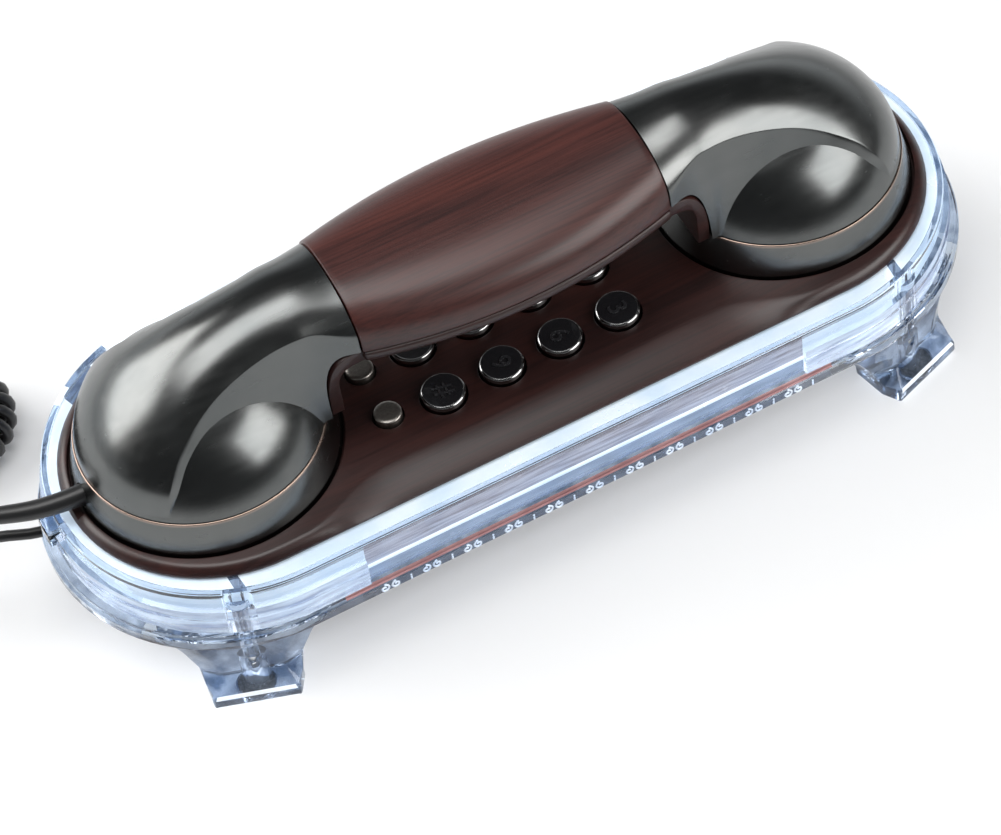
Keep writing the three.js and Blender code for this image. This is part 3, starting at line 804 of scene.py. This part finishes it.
def dome(side, radius, height, foot):
    sphere = (radius ** 2 + height ** 2) / (2 * height)
    turn = math.asin(radius / sphere)
    profile = [(0, foot), (radius, foot)] + ([(radius, CAP_BASE)] if foot < CAP_BASE else [])
    for k in range(1, 33):
        a = turn * (1 - k / 32)
        profile.append((sphere * math.sin(a), CAP_BASE + height - sphere + sphere * math.cos(a)))
    return turned("dome", profile, side * CUP_X, 0, 144)


def under_neck():
    """What the lower shell fills under the neck, with the shell's round corner."""
    edge = CHEEK_X + GAP
    top = LIP_Z + GAP / 2
    return [(20, 20), (edge, 20)] + cheek_curve(edge, top)[::-1] + [(20, top)]


def make_cap(name, side):
    cap = dome(side, CAP_R, DOME_H, CAP_BASE)
    cap.name = name + "_metal_cap"
    join(cap, neck(side, 0))
    cut(cap, loft("tool", [[(side * x, y, z) for x, z in under_neck()] for y in (-40, 40)]))
    cut(cap, dome(side, CAP_R - 2.4, DOME_H - 2.2, CAP_BASE - 3), neck(side, WALL))
    hand_over(cap, "handset", "gunmetal", name + "_cap", angle=25)
    even = cap.modifiers.new("even_shading", "WEIGHTED_NORMAL")
    even.keep_sharp = True


# ---------------------------------------------------------------- handset: collars, grilles and capsules
CORD_EXIT_Z = 40.6


def rod_x(radius, x0, x1, z, steps=32):
    angles = [math.tau * k / steps for k in range(steps)]
    return loft("tool", [[(x, radius * math.cos(a), z + radius * math.sin(a)) for a in angles]
                         for x in (x0, x1)])


def make_collar(name, side):
    foot, top = collar_low.z, collar_high.z
    outline = fillet([(27.4, foot, 0.2), (31.2, foot, 0.3), (31.0, 38.2, 0.5), (28.9, top, 0.22),
                      (26.4, top, 0.2), (26.4, 40.4, 0.2), (27.4, 40.4, 0.2)], 0.2, 4)
    ring = turned(name + "_collar_ring", outline, side * CUP_X, 0, 144)
    if side < 0:
        cut(ring, rod_x(2.8, -110, -98, CORD_EXIT_Z))
    hand_over(ring, "handset", "collar", name + "_collar")


def make_grille(name, side, rings):
    """The flat disc that faces the ear or mouth. Each ring of holes has a radius and a count."""
    low, high = span(name + "_grille")
    outline = [(0, high.z), (26.9, high.z), (26.9, low.z + 0.3), (26.6, low.z)]
    for r in (24.0, 20.5, 17.0):
        outline += [(r + 0.5, low.z), (r + 0.2, low.z + 0.5), (r - 0.2, low.z + 0.5), (r - 0.5, low.z)]
    disc = turned(name + "_grille_disc", outline + [(0, low.z)], side * CUP_X, 0, 96)
    for r, n in rings:
        for k in range(n):
            a = math.tau * k / n
            cut(disc, rod(1.3, 30, 50, side * CUP_X + r * math.cos(a), r * math.sin(a), 20))
    hand_over(disc, "handset", "brown", name + "_grille")


def keep(node, look, width=0.3, angle=35):
    """A CAD node that is shown as it is, with rounded edges and a better material."""
    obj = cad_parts[node]
    edges = obj.modifiers.new("edges", "BEVEL")
    edges.width = width * MM
    edges.segments = 2
    edges.limit_method = "ANGLE"
    edges.angle_limit = math.radians(angle)
    obj.data.materials.clear()
    obj.data.materials.append(LOOKS[look][0])


def make_handset():
    make_grip()
    make_lower_shell()
    for i, x in enumerate((-SCREW_X, SCREW_X)):
        screw(f"handset_pan_screw_{i + 1}", f"handset_screw_{i + 1}", "handset",
              2.6, LIP_Z - 3.9, 1.4, 1.3, LIP_Z + 1.2, x, 0)
    for name, side in SIDES:
        make_cap(name, side)
        make_collar(name, side)
    make_grille("earpiece", 1, ((6, 5), (13, 9)))
    make_grille("mouthpiece", -1, ((6, 5),))
    keep("handset_weight", "steel", 0.6)
    keep("receiver_capsule", "black", 0.3, 50)
    keep("microphone_capsule", "black", 0.3, 50)


# ---------------------------------------------------------------- base: wooden top
DECK, WELL_RIM = 37.6, 38.3
WELL_R, WELL_FLOOR = 31.7, 36.1
WOOD_L, WOOD_R = 108.6, 36.8
WOOD_EDGE, EDGE_TOP = 35.5, 36.2
BODY_L, BODY_R = 106.4, 34.6
BODY_FOOT = span("base_top_housing")[0].z
PLUG_Y = 3.6
DECK_HALF, WELL_BLEND = 42, 24      # the deck is level this far out, then rises to the wells
DECK_CREASE, WELL_CREASE = 26.8, 34.2
DIGIT_KEYS = ("hash", "0", "star", "9", "8", "7", "6", "5", "4", "3", "2", "1")
SMALL_KEYS = ("redial", "pause", "flash")
PLATE_SCREW_X = 54.0


def key_place(name):
    low, high = span("key_" + name)
    return (low.x + high.x) / 2, (low.y + high.y) / 2


def towards_well(x):
    """From 0 over the deck to 1 beside the wells."""
    return smooth((abs(x) - DECK_HALF) / WELL_BLEND)


def deck_height(x):
    return blend(DECK, WELL_RIM, towards_well(x))


def top_ring(share_of):
    """Ring of the wooden top: rim points drawn in towards the centre line by their own shares."""
    c = WOOD_L - WOOD_R
    ring = []
    for x, y in stadium(WOOD_L, WOOD_R, 40, 40):
        centre = min(c, max(-c, x))
        share, height = share_of(x)
        px = centre + (x - centre) * share
        ring.append((px, y * share, height(px)))
    return ring


def crease_share(x):
    return blend(DECK_CREASE / WOOD_R, WELL_CREASE / WOOD_R, towards_well(x))


def apron_ring(u):
    def share_of(x):
        bulge = blend(blend(u, smooth(u), 0.5), 1 - (1 - u) ** 2.4, towards_well(x))
        return blend(1.0, crease_share(x), u), lambda px: blend(EDGE_TOP, deck_height(px), bulge)
    return top_ring(share_of)


def deck_ring(part):
    return top_ring(lambda x: (crease_share(x) * part, deck_height))


def plug_slot(x0, x1):
    """The opening for the handset cord's plug."""
    return slab(x0, x1, PLUG_Y - 3.9, PLUG_Y + 3.9, 26.3, 32.9)


def line_slot(y0, y1):
    """The opening for the line plug, in the back."""
    return slab(48, 57.5, y0, y1, 23.5, 31.5)


def make_wooden_top():
    body = stadium(BODY_L, BODY_R, 40, 40)
    rings = [[(x, y, z) for x, y in body] for z in (BODY_FOOT, BODY_FOOT + 0.3, 28, WOOD_EDGE)]
    for inset, z in ((0.5, WOOD_EDGE), (0.12, WOOD_EDGE + 0.08), (0, WOOD_EDGE + 0.3)):
        rings.append([(x, y, z) for x, y in stadium(WOOD_L - inset, WOOD_R - inset, 40, 40)])
    apron = (0, 0.02, 0.06, 0.12, 0.2, 0.32, 0.46, 0.6, 0.74, 0.86, 0.94, 1)
    rings += [apron_ring(u) for u in apron]
    rings += [deck_ring(part) for part in (0.985, 0.95, 0.75, 0.5, 0.25, 0)]
    top = loft("wooden_top", rings)
    tools = [prism("tool", stadium(BODY_L - WALL, BODY_R - WALL), BODY_FOOT - 5, 33.4),
             slab(-41, 41, -24, 24, 30, 35.2), rod(3, 30, 40, CUP_X, 0),
             rod(WELL_R, WELL_FLOOR, 60, CUP_X, 0, 144), rod(WELL_R, WELL_FLOOR, 60, -CUP_X, 0, 144),
             slab(-112, -100, -3.6, 3.6, 37.1, 60), plug_slot(-112, -98), line_slot(30, 37)]
    for names, r in ((DIGIT_KEYS, KEY_R), (SMALL_KEYS, SMALL_KEY_R)):
        tools += [rod(r + 0.45, 34, 40, *key_place(name)) for name in names]
    cut(top, *tools)
    for x in (-PLATE_SCREW_X, PLATE_SCREW_X):
        boss = rod(4, 21.3, 33.6, x)
        cut(boss, rod(1.9, 21, 30, x))
        join(top, boss)
    # The wooden top takes the wood with painted shade, for the deck that lies in the handset's shade.
    hand_over(top, "base", "painted_shade_wood", "base_top_housing", angle=30)


# ---------------------------------------------------------------- base: keys
KEY_TOP = span("key_5")[1].z
KEY_R, SMALL_KEY_R = 5.2, 3.3
KEY_FOOT, KEY_FLANGE = 33.0, 34.2      # heights of the flange that holds a key in
FLANGE_PROUD = 0.8
MARKS = {"hash": "#", "star": "*"}


def key_flange(r):
    wide = r + FLANGE_PROUD
    return [(0, KEY_FOOT), (wide, KEY_FOOT), (wide, KEY_FLANGE), (r, KEY_FLANGE, 0.2)]


def make_key(name):
    x, y = key_place(name)
    outline = fillet(key_flange(KEY_R) + [
        (KEY_R, KEY_TOP - 0.3, 0.3), (KEY_R - 0.4, KEY_TOP, 0.15),
        (KEY_R - 0.6, KEY_TOP - 0.1, 0.05), (0, KEY_TOP - 0.04)], 0.1, 4, False)
    key = turned(f"key_{name}_button", outline, x, y, 64)
    hand_over(key, "key_" + name, "chrome", "key_" + name)

    def within_bezel(p, width):
        return p.z > KEY_TOP - 0.16 and math.hypot(p.x - x, p.y - y) < KEY_R - 0.55

    second_look(key, "key", within_bezel)
    make_mark(name, x, y)


def make_mark(name, x, y):
    """The digit on a key, which reads from the mouthpiece's end."""
    text = bpy.data.curves.new("mark", "FONT")
    text.body = MARKS.get(name, name)
    text.size = (8.2 if name == "star" else 6.6) * MM
    text.align_x = "CENTER"
    text.align_y = "CENTER"
    text.extrude = 0.12 * MM
    text.bevel_depth = 0.05 * MM
    text.bevel_resolution = 1
    flat = bpy.data.objects.new("mark", text)
    bpy.context.scene.collection.objects.link(flat)
    bpy.context.view_layer.update()
    data = bpy.data.meshes.new_from_object(flat.evaluated_get(bpy.context.evaluated_depsgraph_get()))
    bpy.data.objects.remove(flat, do_unlink=True)
    xs, ys = [v.co.x for v in data.vertices], [v.co.y for v in data.vertices]
    middle = Vector(((min(xs) + max(xs)) / 2, (min(ys) + max(ys)) / 2, 0))
    data.transform(Matrix.Translation(-middle))
    data.transform(Matrix.Rotation(-math.pi / 2, 4, "Z"))
    mark = bpy.data.objects.new(f"key_{name}_mark", data)
    mark.location = Vector((x, y, KEY_TOP - 0.02)) * MM
    bpy.context.scene.collection.objects.link(mark)
    hand_over(mark, "key_" + name, "mark")


def make_small_key(name):
    x, y = key_place(name)
    outline = fillet(key_flange(SMALL_KEY_R) + [
        (SMALL_KEY_R, KEY_TOP - 0.35, 0.5), (SMALL_KEY_R - 0.7, KEY_TOP - 0.1, 0.3), (0, KEY_TOP)],
        0.1, 5, False)
    key = turned(f"key_{name}_button", outline, x, y, 56)
    hand_over(key, "key_" + name, "bronze", "key_" + name)


# ---------------------------------------------------------------- clear ring
RING_L, RING_R = 112.2, 42.7
FLANGE_L, FLANGE_R = BODY_L + 0.5, BODY_R + 0.5
RING_WALL = 2.5
RING_FOOT = span("clear_ring")[0].z
FLANGE_TOP, RIM_TOP = 35.2, span("clear_ring")[1].z
BEAD_LOW, BEAD_HIGH = 27.4, 28.6    # heights of the bead that runs round the wall
BEAD_PROUD = 0.35
END_X, END_PROUD = 56.0, 1.2        # past END_X the wall stands proud by END_PROUD
CORNERS = ((-1, -1), (1, -1), (1, 1), (-1, 1))
PAD_X, PAD_Y = 86.1, 39.2
POST_X, POST_Y = 85.0, 37.4


def banded(half_length, radius, proud=0.0):
    """A stadium whose wall stands proud beyond the end steps."""
    c = half_length - radius
    marks = [c, END_X + 6, END_X + 0.06, END_X - 0.06, 42, 28, 14]
    xs = marks + [0] + [-m for m in reversed(marks[1:])]
    r = radius + proud
    out = []
    for side in (1, -1):
        for k in range(48):
            a = math.pi * (k / 48 - 0.5)
            out.append((side * (c + r * math.cos(a)), side * r * math.sin(a)))
        out += [(side * x, side * (radius + (proud if abs(x) > END_X else 0))) for x in xs]
    return out


def ring_profile():
    """Half-length, end radius and height of each line round the ring, and whether it stands proud."""
    def line(inset, z, proud=0):
        return RING_L - inset, RING_R - inset, z, proud

    return [line(RING_WALL, 33.0), line(RING_WALL, RING_FOOT), line(0, RING_FOOT, 1),
            line(0, BEAD_LOW, 1), line(-BEAD_PROUD, BEAD_LOW + 0.3, 1),
            line(-BEAD_PROUD, BEAD_HIGH - 0.3, 1), line(0, BEAD_HIGH, 1),
            line(0, 31.0, 1), line(0, 31.3), line(0, RIM_TOP - 0.3), line(0.3, RIM_TOP),
            line(1.4, RIM_TOP), line(1.6, RIM_TOP - 0.2), line(1.6, FLANGE_TOP),
            (FLANGE_L + 0.2, FLANGE_R + 0.2, FLANGE_TOP, 0), (FLANGE_L, FLANGE_R, FLANGE_TOP - 0.2, 0),
            (FLANGE_L, FLANGE_R, 33.0, 0)]


def make_ring():
    ring = loft("clear_wall", [[(x, y, z) for x, y in banded(half, r, END_PROUD * proud)]
                               for half, r, z, proud in ring_profile()], closed=True)
    for sx, sy in CORNERS:
        join(ring, rod(3.4, RING_FOOT, 33.2, POST_X * sx, POST_Y * sy, 32))
    for sx, sy in CORNERS:
        cut(ring, rod(1.8, RING_FOOT - 1, 30, POST_X * sx, POST_Y * sy, 24))
    cut(ring, plug_slot(-118, -104), line_slot(38, 46))
    hand_over(ring, "base", "clear", "clear_ring", angle=20)

    def straight_wall(p):
        return abs(p.x) < END_X and abs(p.y) > RING_R - 0.1

    def flange_or_bead(p, width):
        return abs(p.z - FLANGE_TOP) < 0.05 or BEAD_LOW + 0.1 < p.z < BEAD_HIGH - 0.1

    def upper_wall(p, width):
        return straight_wall(p) and BEAD_HIGH < p.z < RIM_TOP - 0.4

    def lower_wall(p, width):
        return straight_wall(p) and p.z < BEAD_LOW - 0.1

    def proud_end(p, width):
        centre = math.copysign(RING_L - RING_R, p.x)
        return abs(p.x) > END_X and p.z < 31 and math.hypot(p.x - centre, p.y) > RING_R + 0.4

    def back_rim(p, width):
        return p.y > 30 and p.z > FLANGE_TOP - 0.3

    def rim_corner(p, width):
        return -96 < p.x < -88 and p.y > 25 and p.z > FLANGE_TOP - 0.3

    def post_bore(p, width):
        return math.hypot(abs(p.x) - POST_X, abs(p.y) - POST_Y) < 2.2 and p.z > 26

    # Painted light on the ring: a painted glow on the flange's top face and the bead, painted reflections
    # on the straight walls and proud ends, a painted highlight along the back rim, and painted dark
    # reflections at one rim corner and in the post bores.
    for look, test in (("flange_glow", flange_or_bead), ("upper_wall_reflection", upper_wall), ("end_reflection", proud_end),
                       ("white", back_rim), ("painted_dark", rim_corner), ("painted_dark", post_bore),
                       ("slate", lower_wall)):
        second_look(ring, look, test)
    ring.visible_shadow = False


# ---------------------------------------------------------------- clear stand
SKIRT_L, SKIRT_R = 116.0, 44.4
SKIRT_FOOT = 18.3
SKIRT_WALL = 7.5
STEP_Z = 21.4                       # height of the step above the scrolls
FOOT_OUT = (0.33, 0.944)            # the way a foot points
FOOT_MID = 68.5
# Height, then distance out and half-width at the front, at the sides and at the back.
FOOT_LEVELS = ((0.5, 71, 10, 66, 11.2, 57, 10), (3.9, 70.8, 10, 66, 11.2, 57, 10.5),
               (7.9, 66.8, 6.8, 64, 12, 57, 12), (13, 66.3, 8.6, 62.5, 15, 56, 15),
               (17.6, 66, 11, 61.5, 18.5, 56, 18.5), (21, 65.8, 12.2, 61, 21.5, 56, 22))


def foot_ring(sx, sy, z, front, half, side_out, side_half, back, back_half):
    """One level of a foot: a hexagon that looks outwards over its corner of the stand."""
    nx, ny = FOOT_OUT
    corners = [(front, half), (side_out, side_half), (back, back_half),
               (back, -back_half), (side_out, -side_half), (front, -half)]
    return [(sx * (nx * out + ny * (FOOT_MID + along)), sy * (ny * out - nx * (FOOT_MID + along)), z)
            for out, along in corners]


def make_foot(sx, sy):
    foot = loft("foot", [foot_ring(sx, sy, *level) for level in FOOT_LEVELS])
    return soften(foot, 0.6, 2, 25)


def stand_profile(top):
    """Half-length, end radius and height of each line round the stand's skirt."""
    def line(inset, z):
        return SKIRT_L - inset, SKIRT_R - inset, z

    return [line(SKIRT_WALL, SKIRT_FOOT), line(0.3, SKIRT_FOOT), line(0, SKIRT_FOOT + 0.3),
            line(0, STEP_Z - 0.3), line(0.3, STEP_Z), line(0.8, STEP_Z), line(0.8, top - 0.2),
            line(1, top), line(SKIRT_WALL, top)]


def make_stand():
    top = RING_FOOT - GAP
    stand = loft("clear_footed_stand", [[(x, y, z) for x, y in stadium(half, r, 48, 16)]
                                        for half, r, z in stand_profile(top)], closed=True)
    for sx, sy in CORNERS:
        join(stand, make_foot(sx, sy))
    inside = stadium(SKIRT_L - SKIRT_WALL, SKIRT_R - SKIRT_WALL, 48, 16)
    cut(stand, prism("tool", inside, SKIRT_FOOT - 0.01, 30))
    for sx, sy in CORNERS:
        x, y = POST_X * sx, POST_Y * sy
        cut(stand, rod(1.9, 0, 30, x, y, 24), rod(3.3, -1, 12, x, y, 32),
            rod(4.6, -1, 1.45, PAD_X * sx, PAD_Y * sy, 48))
    hand_over(stand, "base", "clear", "clear_stand", angle=20)

    def foot(p, width):
        return p.z < SKIRT_FOOT

    def foot_edge(p, width):
        return p.z < SKIRT_FOOT and width < 0.07 and abs(p.y) > 41

    def scroll_strip(p, width):
        return abs(p.x) < 58 and abs(p.y) > SKIRT_R - 0.2 and p.z < 21.2

    def step(p, width):
        return abs(p.x) < 60 and abs(p.y) > SKIRT_R - 1 and 21.3 < p.z < top - 0.05

    # Painted light on the stand: painted dark reflections on the feet with painted highlights on their
    # narrow edge faces, a painted dark reflection behind the scrolls, and a painted reflection of the
    # wood on the step.
    for look, test in (("facet", foot), ("white", foot_edge), ("painted_dark", scroll_strip), ("rosy", step)):
        second_look(stand, look, test)
    stand.visible_shadow = False


def make_pads_and_screws():
    for i, (sx, sy) in enumerate(CORNERS):
        low, high = span(f"foot_pad_{i + 1}")
        outline = fillet([(0, low.z), (4.3, low.z, 0.3), (4.3, high.z, 0.3), (0, high.z)], 0.3, 4, False)
        pad = turned(f"rubber_foot_{i + 1}", outline, PAD_X * sx, PAD_Y * sy, 64)
        hand_over(pad, "base", "rubber", f"foot_pad_{i + 1}")
        screw(f"stand_pan_screw_{i + 1}", f"stand_screw_{i + 1}", "base",
              2.8, 9.4, 2.3, 1.4, 29, POST_X * sx, POST_Y * sy)
    for i, x in enumerate((-PLATE_SCREW_X, PLATE_SCREW_X)):
        screw(f"plate_pan_screw_{i + 1}", f"plate_screw_{i + 1}", "base",
              3.0, 18.4, 1.0, 1.4, 28.5, x, 0)


# ---------------------------------------------------------------- scroll band on the stand's edge
SCROLL_PITCH = 10.4
SCROLL_Z = 19.75
SCROLL_WIRE = 0.25
SCROLL_OUTER, SCROLL_INNER = 1.25, 0.3
SCROLL_TURNS = 1.15
SCROLL_APART = 1.45


def wire(points, radius, sides=6):
    """Rings of points in millimetres round a path, without twist."""
    path = [Vector(p) for p in points]
    rings, normal = [], None
    for i, here in enumerate(path):
        ahead = (path[min(i + 1, len(path) - 1)] - path[max(i - 1, 0)]).normalized()
        if normal is None:
            normal = ahead.orthogonal().normalized()
        normal = (normal - ahead * normal.dot(ahead)).normalized()
        side = ahead.cross(normal)
        r = radius(i / (len(path) - 1)) if callable(radius) else radius
        angles = [math.tau * k / sides for k in range(sides)]
        rings.append([here + (normal * math.cos(a) + side * math.sin(a)) * r for a in angles])
    return rings


def scroll(x, y, lean):
    """A spiral that opens towards its neighbour."""
    out = []
    for k in range(19):
        t = k / 18
        a = lean * (math.pi * 0.5 + t * math.tau * SCROLL_TURNS)
        r = blend(SCROLL_OUTER, SCROLL_INNER, t)
        along = x + lean * SCROLL_APART + r * math.cos(a) * lean
        out.append((along, y, SCROLL_Z + r * math.sin(a) * lean))
    return out


def make_scroll_band(name, side):
    """A row of scroll pairs with a bead and a dot between them, along one straight side."""
    verts, faces = [], []

    def add(rings):
        base, n = len(verts), len(rings[0])
        verts.extend(p for ring in rings for p in ring)
        for i in range(len(rings) - 1):
            a = base + i * n
            faces.extend((a + k, a + (k + 1) % n, a + n + (k + 1) % n, a + n + k) for k in range(n))
        faces.append(tuple(range(base, base + n)))
        faces.append(tuple(range(base + n * (len(rings) - 1), base + n * len(rings))))

    y = side * (SKIRT_R + 0.02)
    for i in range(-5, 6):
        x = i * SCROLL_PITCH
        for lean in (-1, 1):
            add(wire(scroll(x, y, lean), SCROLL_WIRE))
        bead = x + SCROLL_PITCH / 2
        add(wire([(bead, y, SCROLL_Z - 0.9), (bead, y, SCROLL_Z - 0.1)], SCROLL_WIRE))
        add(wire([(bead, y, SCROLL_Z + 0.35), (bead, y, SCROLL_Z + 0.75)], 0.24))
    band = add_mesh(name, verts, faces)
    # The scrolls are frosted and also carry a painted glow.
    hand_over(band, "base", "frosted_glow")
    band.visible_shadow = False


# ---------------------------------------------------------------- base: plate, sockets and insides
def make_insides():
    for node, look, width, angle in (
            ("base_bottom_plate", "brown", 0.4, 35), ("circuit_board", "board", 0.15, 35),
            ("keypad_mat", "rubber", 0.5, 35), ("ringer_speaker", "cone", 0.3, 50),
            ("hook_switch", "black", 0.5, 35), ("handset_jack", "black", 0.4, 35),
            ("line_jack", "black", 0.4, 35)):
        keep(node, look, width, angle)
    low, high = span("hook_plunger")
    outline = fillet([(0, low.z), (4.2, low.z, 0.3), (4.2, low.z + 1.7, 0.3), (2.6, low.z + 1.7, 0.2),
                      (2.6, high.z - 0.4, 0.3), (2.1, high.z, 0.4), (0, high.z)], 0.3, 4, False)
    plunger = turned("hook_button", outline, CUP_X, 0, 48)
    hand_over(plunger, "hook", "black", "hook_plunger")


def make_base():
    make_wooden_top()
    for name in DIGIT_KEYS:
        make_key(name)
    for name in SMALL_KEYS:
        make_small_key(name)
    make_ring()
    make_stand()
    make_pads_and_screws()
    make_scroll_band("scroll_band_front", -1)
    make_scroll_band("scroll_band_back", 1)
    make_insides()


# ---------------------------------------------------------------- cord
CORD_D = 2.6
COIL_R = 6.9                        # outer radius of the coil
COIL_Z = 7.1
TAIL_ROUTE = [(-115.4, 3.6, 29.6), (-118, 4.4, 29.6), (-125, 8, 29.0), (-138, 14.5, 23.5), (-153, 21, 11),
              (-171, 29, 2.2), (-189, 40, 1.9), (-196, 56, 2.7), (-189, 69, 5.8), (-179, 71.5, 7.0),
              (-175.3, 71.5, 7.1)]
LEAD_ROUTE = [(-132.3, 9.8, 38.9), (-141, 15.4, 35.6), (-153, 23, 26), (-165, 30, 13.6), (-178, 37, 6.4),
              (-185, 44.5, 6), (-184, 51, 6.9), (-179, 52.5, 7.1), (-175.3, 52.5, 7.1)]
RELIEF_ROUTE = [(-101.8, 0, 40.6), (-106, 0, 40.6), (-115, 1.4, 40.6), (-124, 5, 40.3), (-132, 9.6, 39)]
RELIEF_START, RELIEF_END = 2.55, 1.85     # radius of the sleeve at the collar and at its tip
COIL_BEND = (-119.6, 62.0, 9.5)     # centre and radius of the bend that the coil lies in
COIL_START = -175.0
TURN_PITCH = 2.75
TURN_STEPS = 18
OPENING_TURNS = 1.2                 # turns over which the coil opens to its full radius
OPENING_PITCH = 24.0


def curve_points(route, step):
    """Points about a step apart on the smooth centripetal curve through the route."""
    points = [Vector(p) for p in route]
    points = [points[0] * 2 - points[1]] + points + [points[-1] * 2 - points[-2]]
    out = []
    for a, b, c, d in zip(points, points[1:], points[2:], points[3:]):
        t0, t1 = 0.0, (b - a).length ** 0.5
        t2 = t1 + (c - b).length ** 0.5
        t3 = t2 + (d - c).length ** 0.5
        count = max(2, round((c - b).length / step))
        for k in range(count):
            t = blend(t1, t2, k / count)
            ab = a * ((t1 - t) / (t1 - t0)) + b * ((t - t0) / (t1 - t0))
            bc = b * ((t2 - t) / (t2 - t1)) + c * ((t - t1) / (t2 - t1))
            cd = c * ((t3 - t) / (t3 - t2)) + d * ((t - t2) / (t3 - t2))
            abc = ab * ((t2 - t) / (t2 - t0)) + bc * ((t - t0) / (t2 - t0))
            bcd = bc * ((t3 - t) / (t3 - t1)) + cd * ((t - t1) / (t3 - t1))
            out.append(abc * ((t2 - t) / (t2 - t1)) + bcd * ((t - t1) / (t2 - t1)))
    return out + [Vector(route[-1])]


def coil_line(s):
    """Centre, heading and side of the coiled part at a distance s from where it starts."""
    bend_x, bend_y, bend_r = COIL_BEND
    run = bend_x - COIL_START
    half = math.pi * bend_r
    if s < run:
        return Vector((COIL_START + s, bend_y + bend_r, COIL_Z)), Vector((1, 0, 0))
    if s < run + half:
        a = math.pi / 2 - (s - run) / bend_r
        return (Vector((bend_x + bend_r * math.cos(a), bend_y + bend_r * math.sin(a), COIL_Z)),
                Vector((math.sin(a), -math.cos(a), 0)))
    return Vector((bend_x - (s - run - half), bend_y - bend_r, COIL_Z)), Vector((-1, 0, 0))


def coil_points():
    """The helix. Its first and last turns open out of the cord's straight line with a long advance."""
    bend_x, _, bend_r = COIL_BEND
    middle = bend_x - COIL_START + math.pi * bend_r / 2
    full = COIL_R - CORD_D / 2
    steps = [(0.0, 0.0)]
    while steps[-1][0] < middle:
        opened = len(steps) / TURN_STEPS / OPENING_TURNS
        r = full * smooth(opened)
        pitch = max(TURN_PITCH, OPENING_PITCH * (1 - smooth((opened - 0.5) * 1.5)))
        steps.append((steps[-1][0] + pitch / TURN_STEPS, r))
    fit = middle / steps[-1][0]
    half = [(s * fit, r) for s, r in steps]
    out = []
    for k, (s, r) in enumerate(half + [(2 * middle - s, r) for s, r in reversed(half[:-1])]):
        centre, ahead = coil_line(s)
        a = math.tau * k / TURN_STEPS
        side = Vector((0, 0, 1)).cross(ahead)
        out.append(centre + side * (r * math.cos(a)) + Vector((0, 0, r * math.sin(a))))
    return out


def thinned(points, least):
    """The points, without those closer to the one before than the least distance."""
    out = [points[0]]
    for point in points[1:]:
        if (point - out[-1]).length >= least:
            out.append(point)
    return out


def make_cord():
    tail, lead = curve_points(TAIL_ROUTE, 2.5), curve_points(LEAD_ROUTE, 2.5)
    path = thinned(tail + coil_points() + lead[::-1], 1.0)
    cord = loft("handset_cord", wire(path, CORD_D / 2, 10))
    hand_over(cord, "base", "cord", "cord_tail", "cord_curl", "cord_lead", angle=60)
    relief_path = curve_points(RELIEF_ROUTE, 1.0)

    def relief_radius(t):
        return blend(RELIEF_START, RELIEF_END, t) - 0.25 * smooth((t - 0.96) / 0.04)

    relief = loft("strain_relief_sleeve", wire(relief_path, relief_radius, 28))
    hand_over(relief, "handset", "cord", "strain_relief", angle=50)
    plug = make_plug()


def make_plug():
    low, high = span("modular_plug")
    plug = slab(low.x, high.x, low.y, high.y, low.z, high.z)
    plug.name = "modular_plug_body"
    cut(plug, slab(high.x - 4.5, high.x + 1, low.y + 0.5, high.y - 0.5, low.z - 1, low.z + 0.7))
    soften(plug, 0.35, 3, 50)
    return hand_over(plug, "base", "clear", "modular_plug")


make_cord()
make_handset()
make_base()
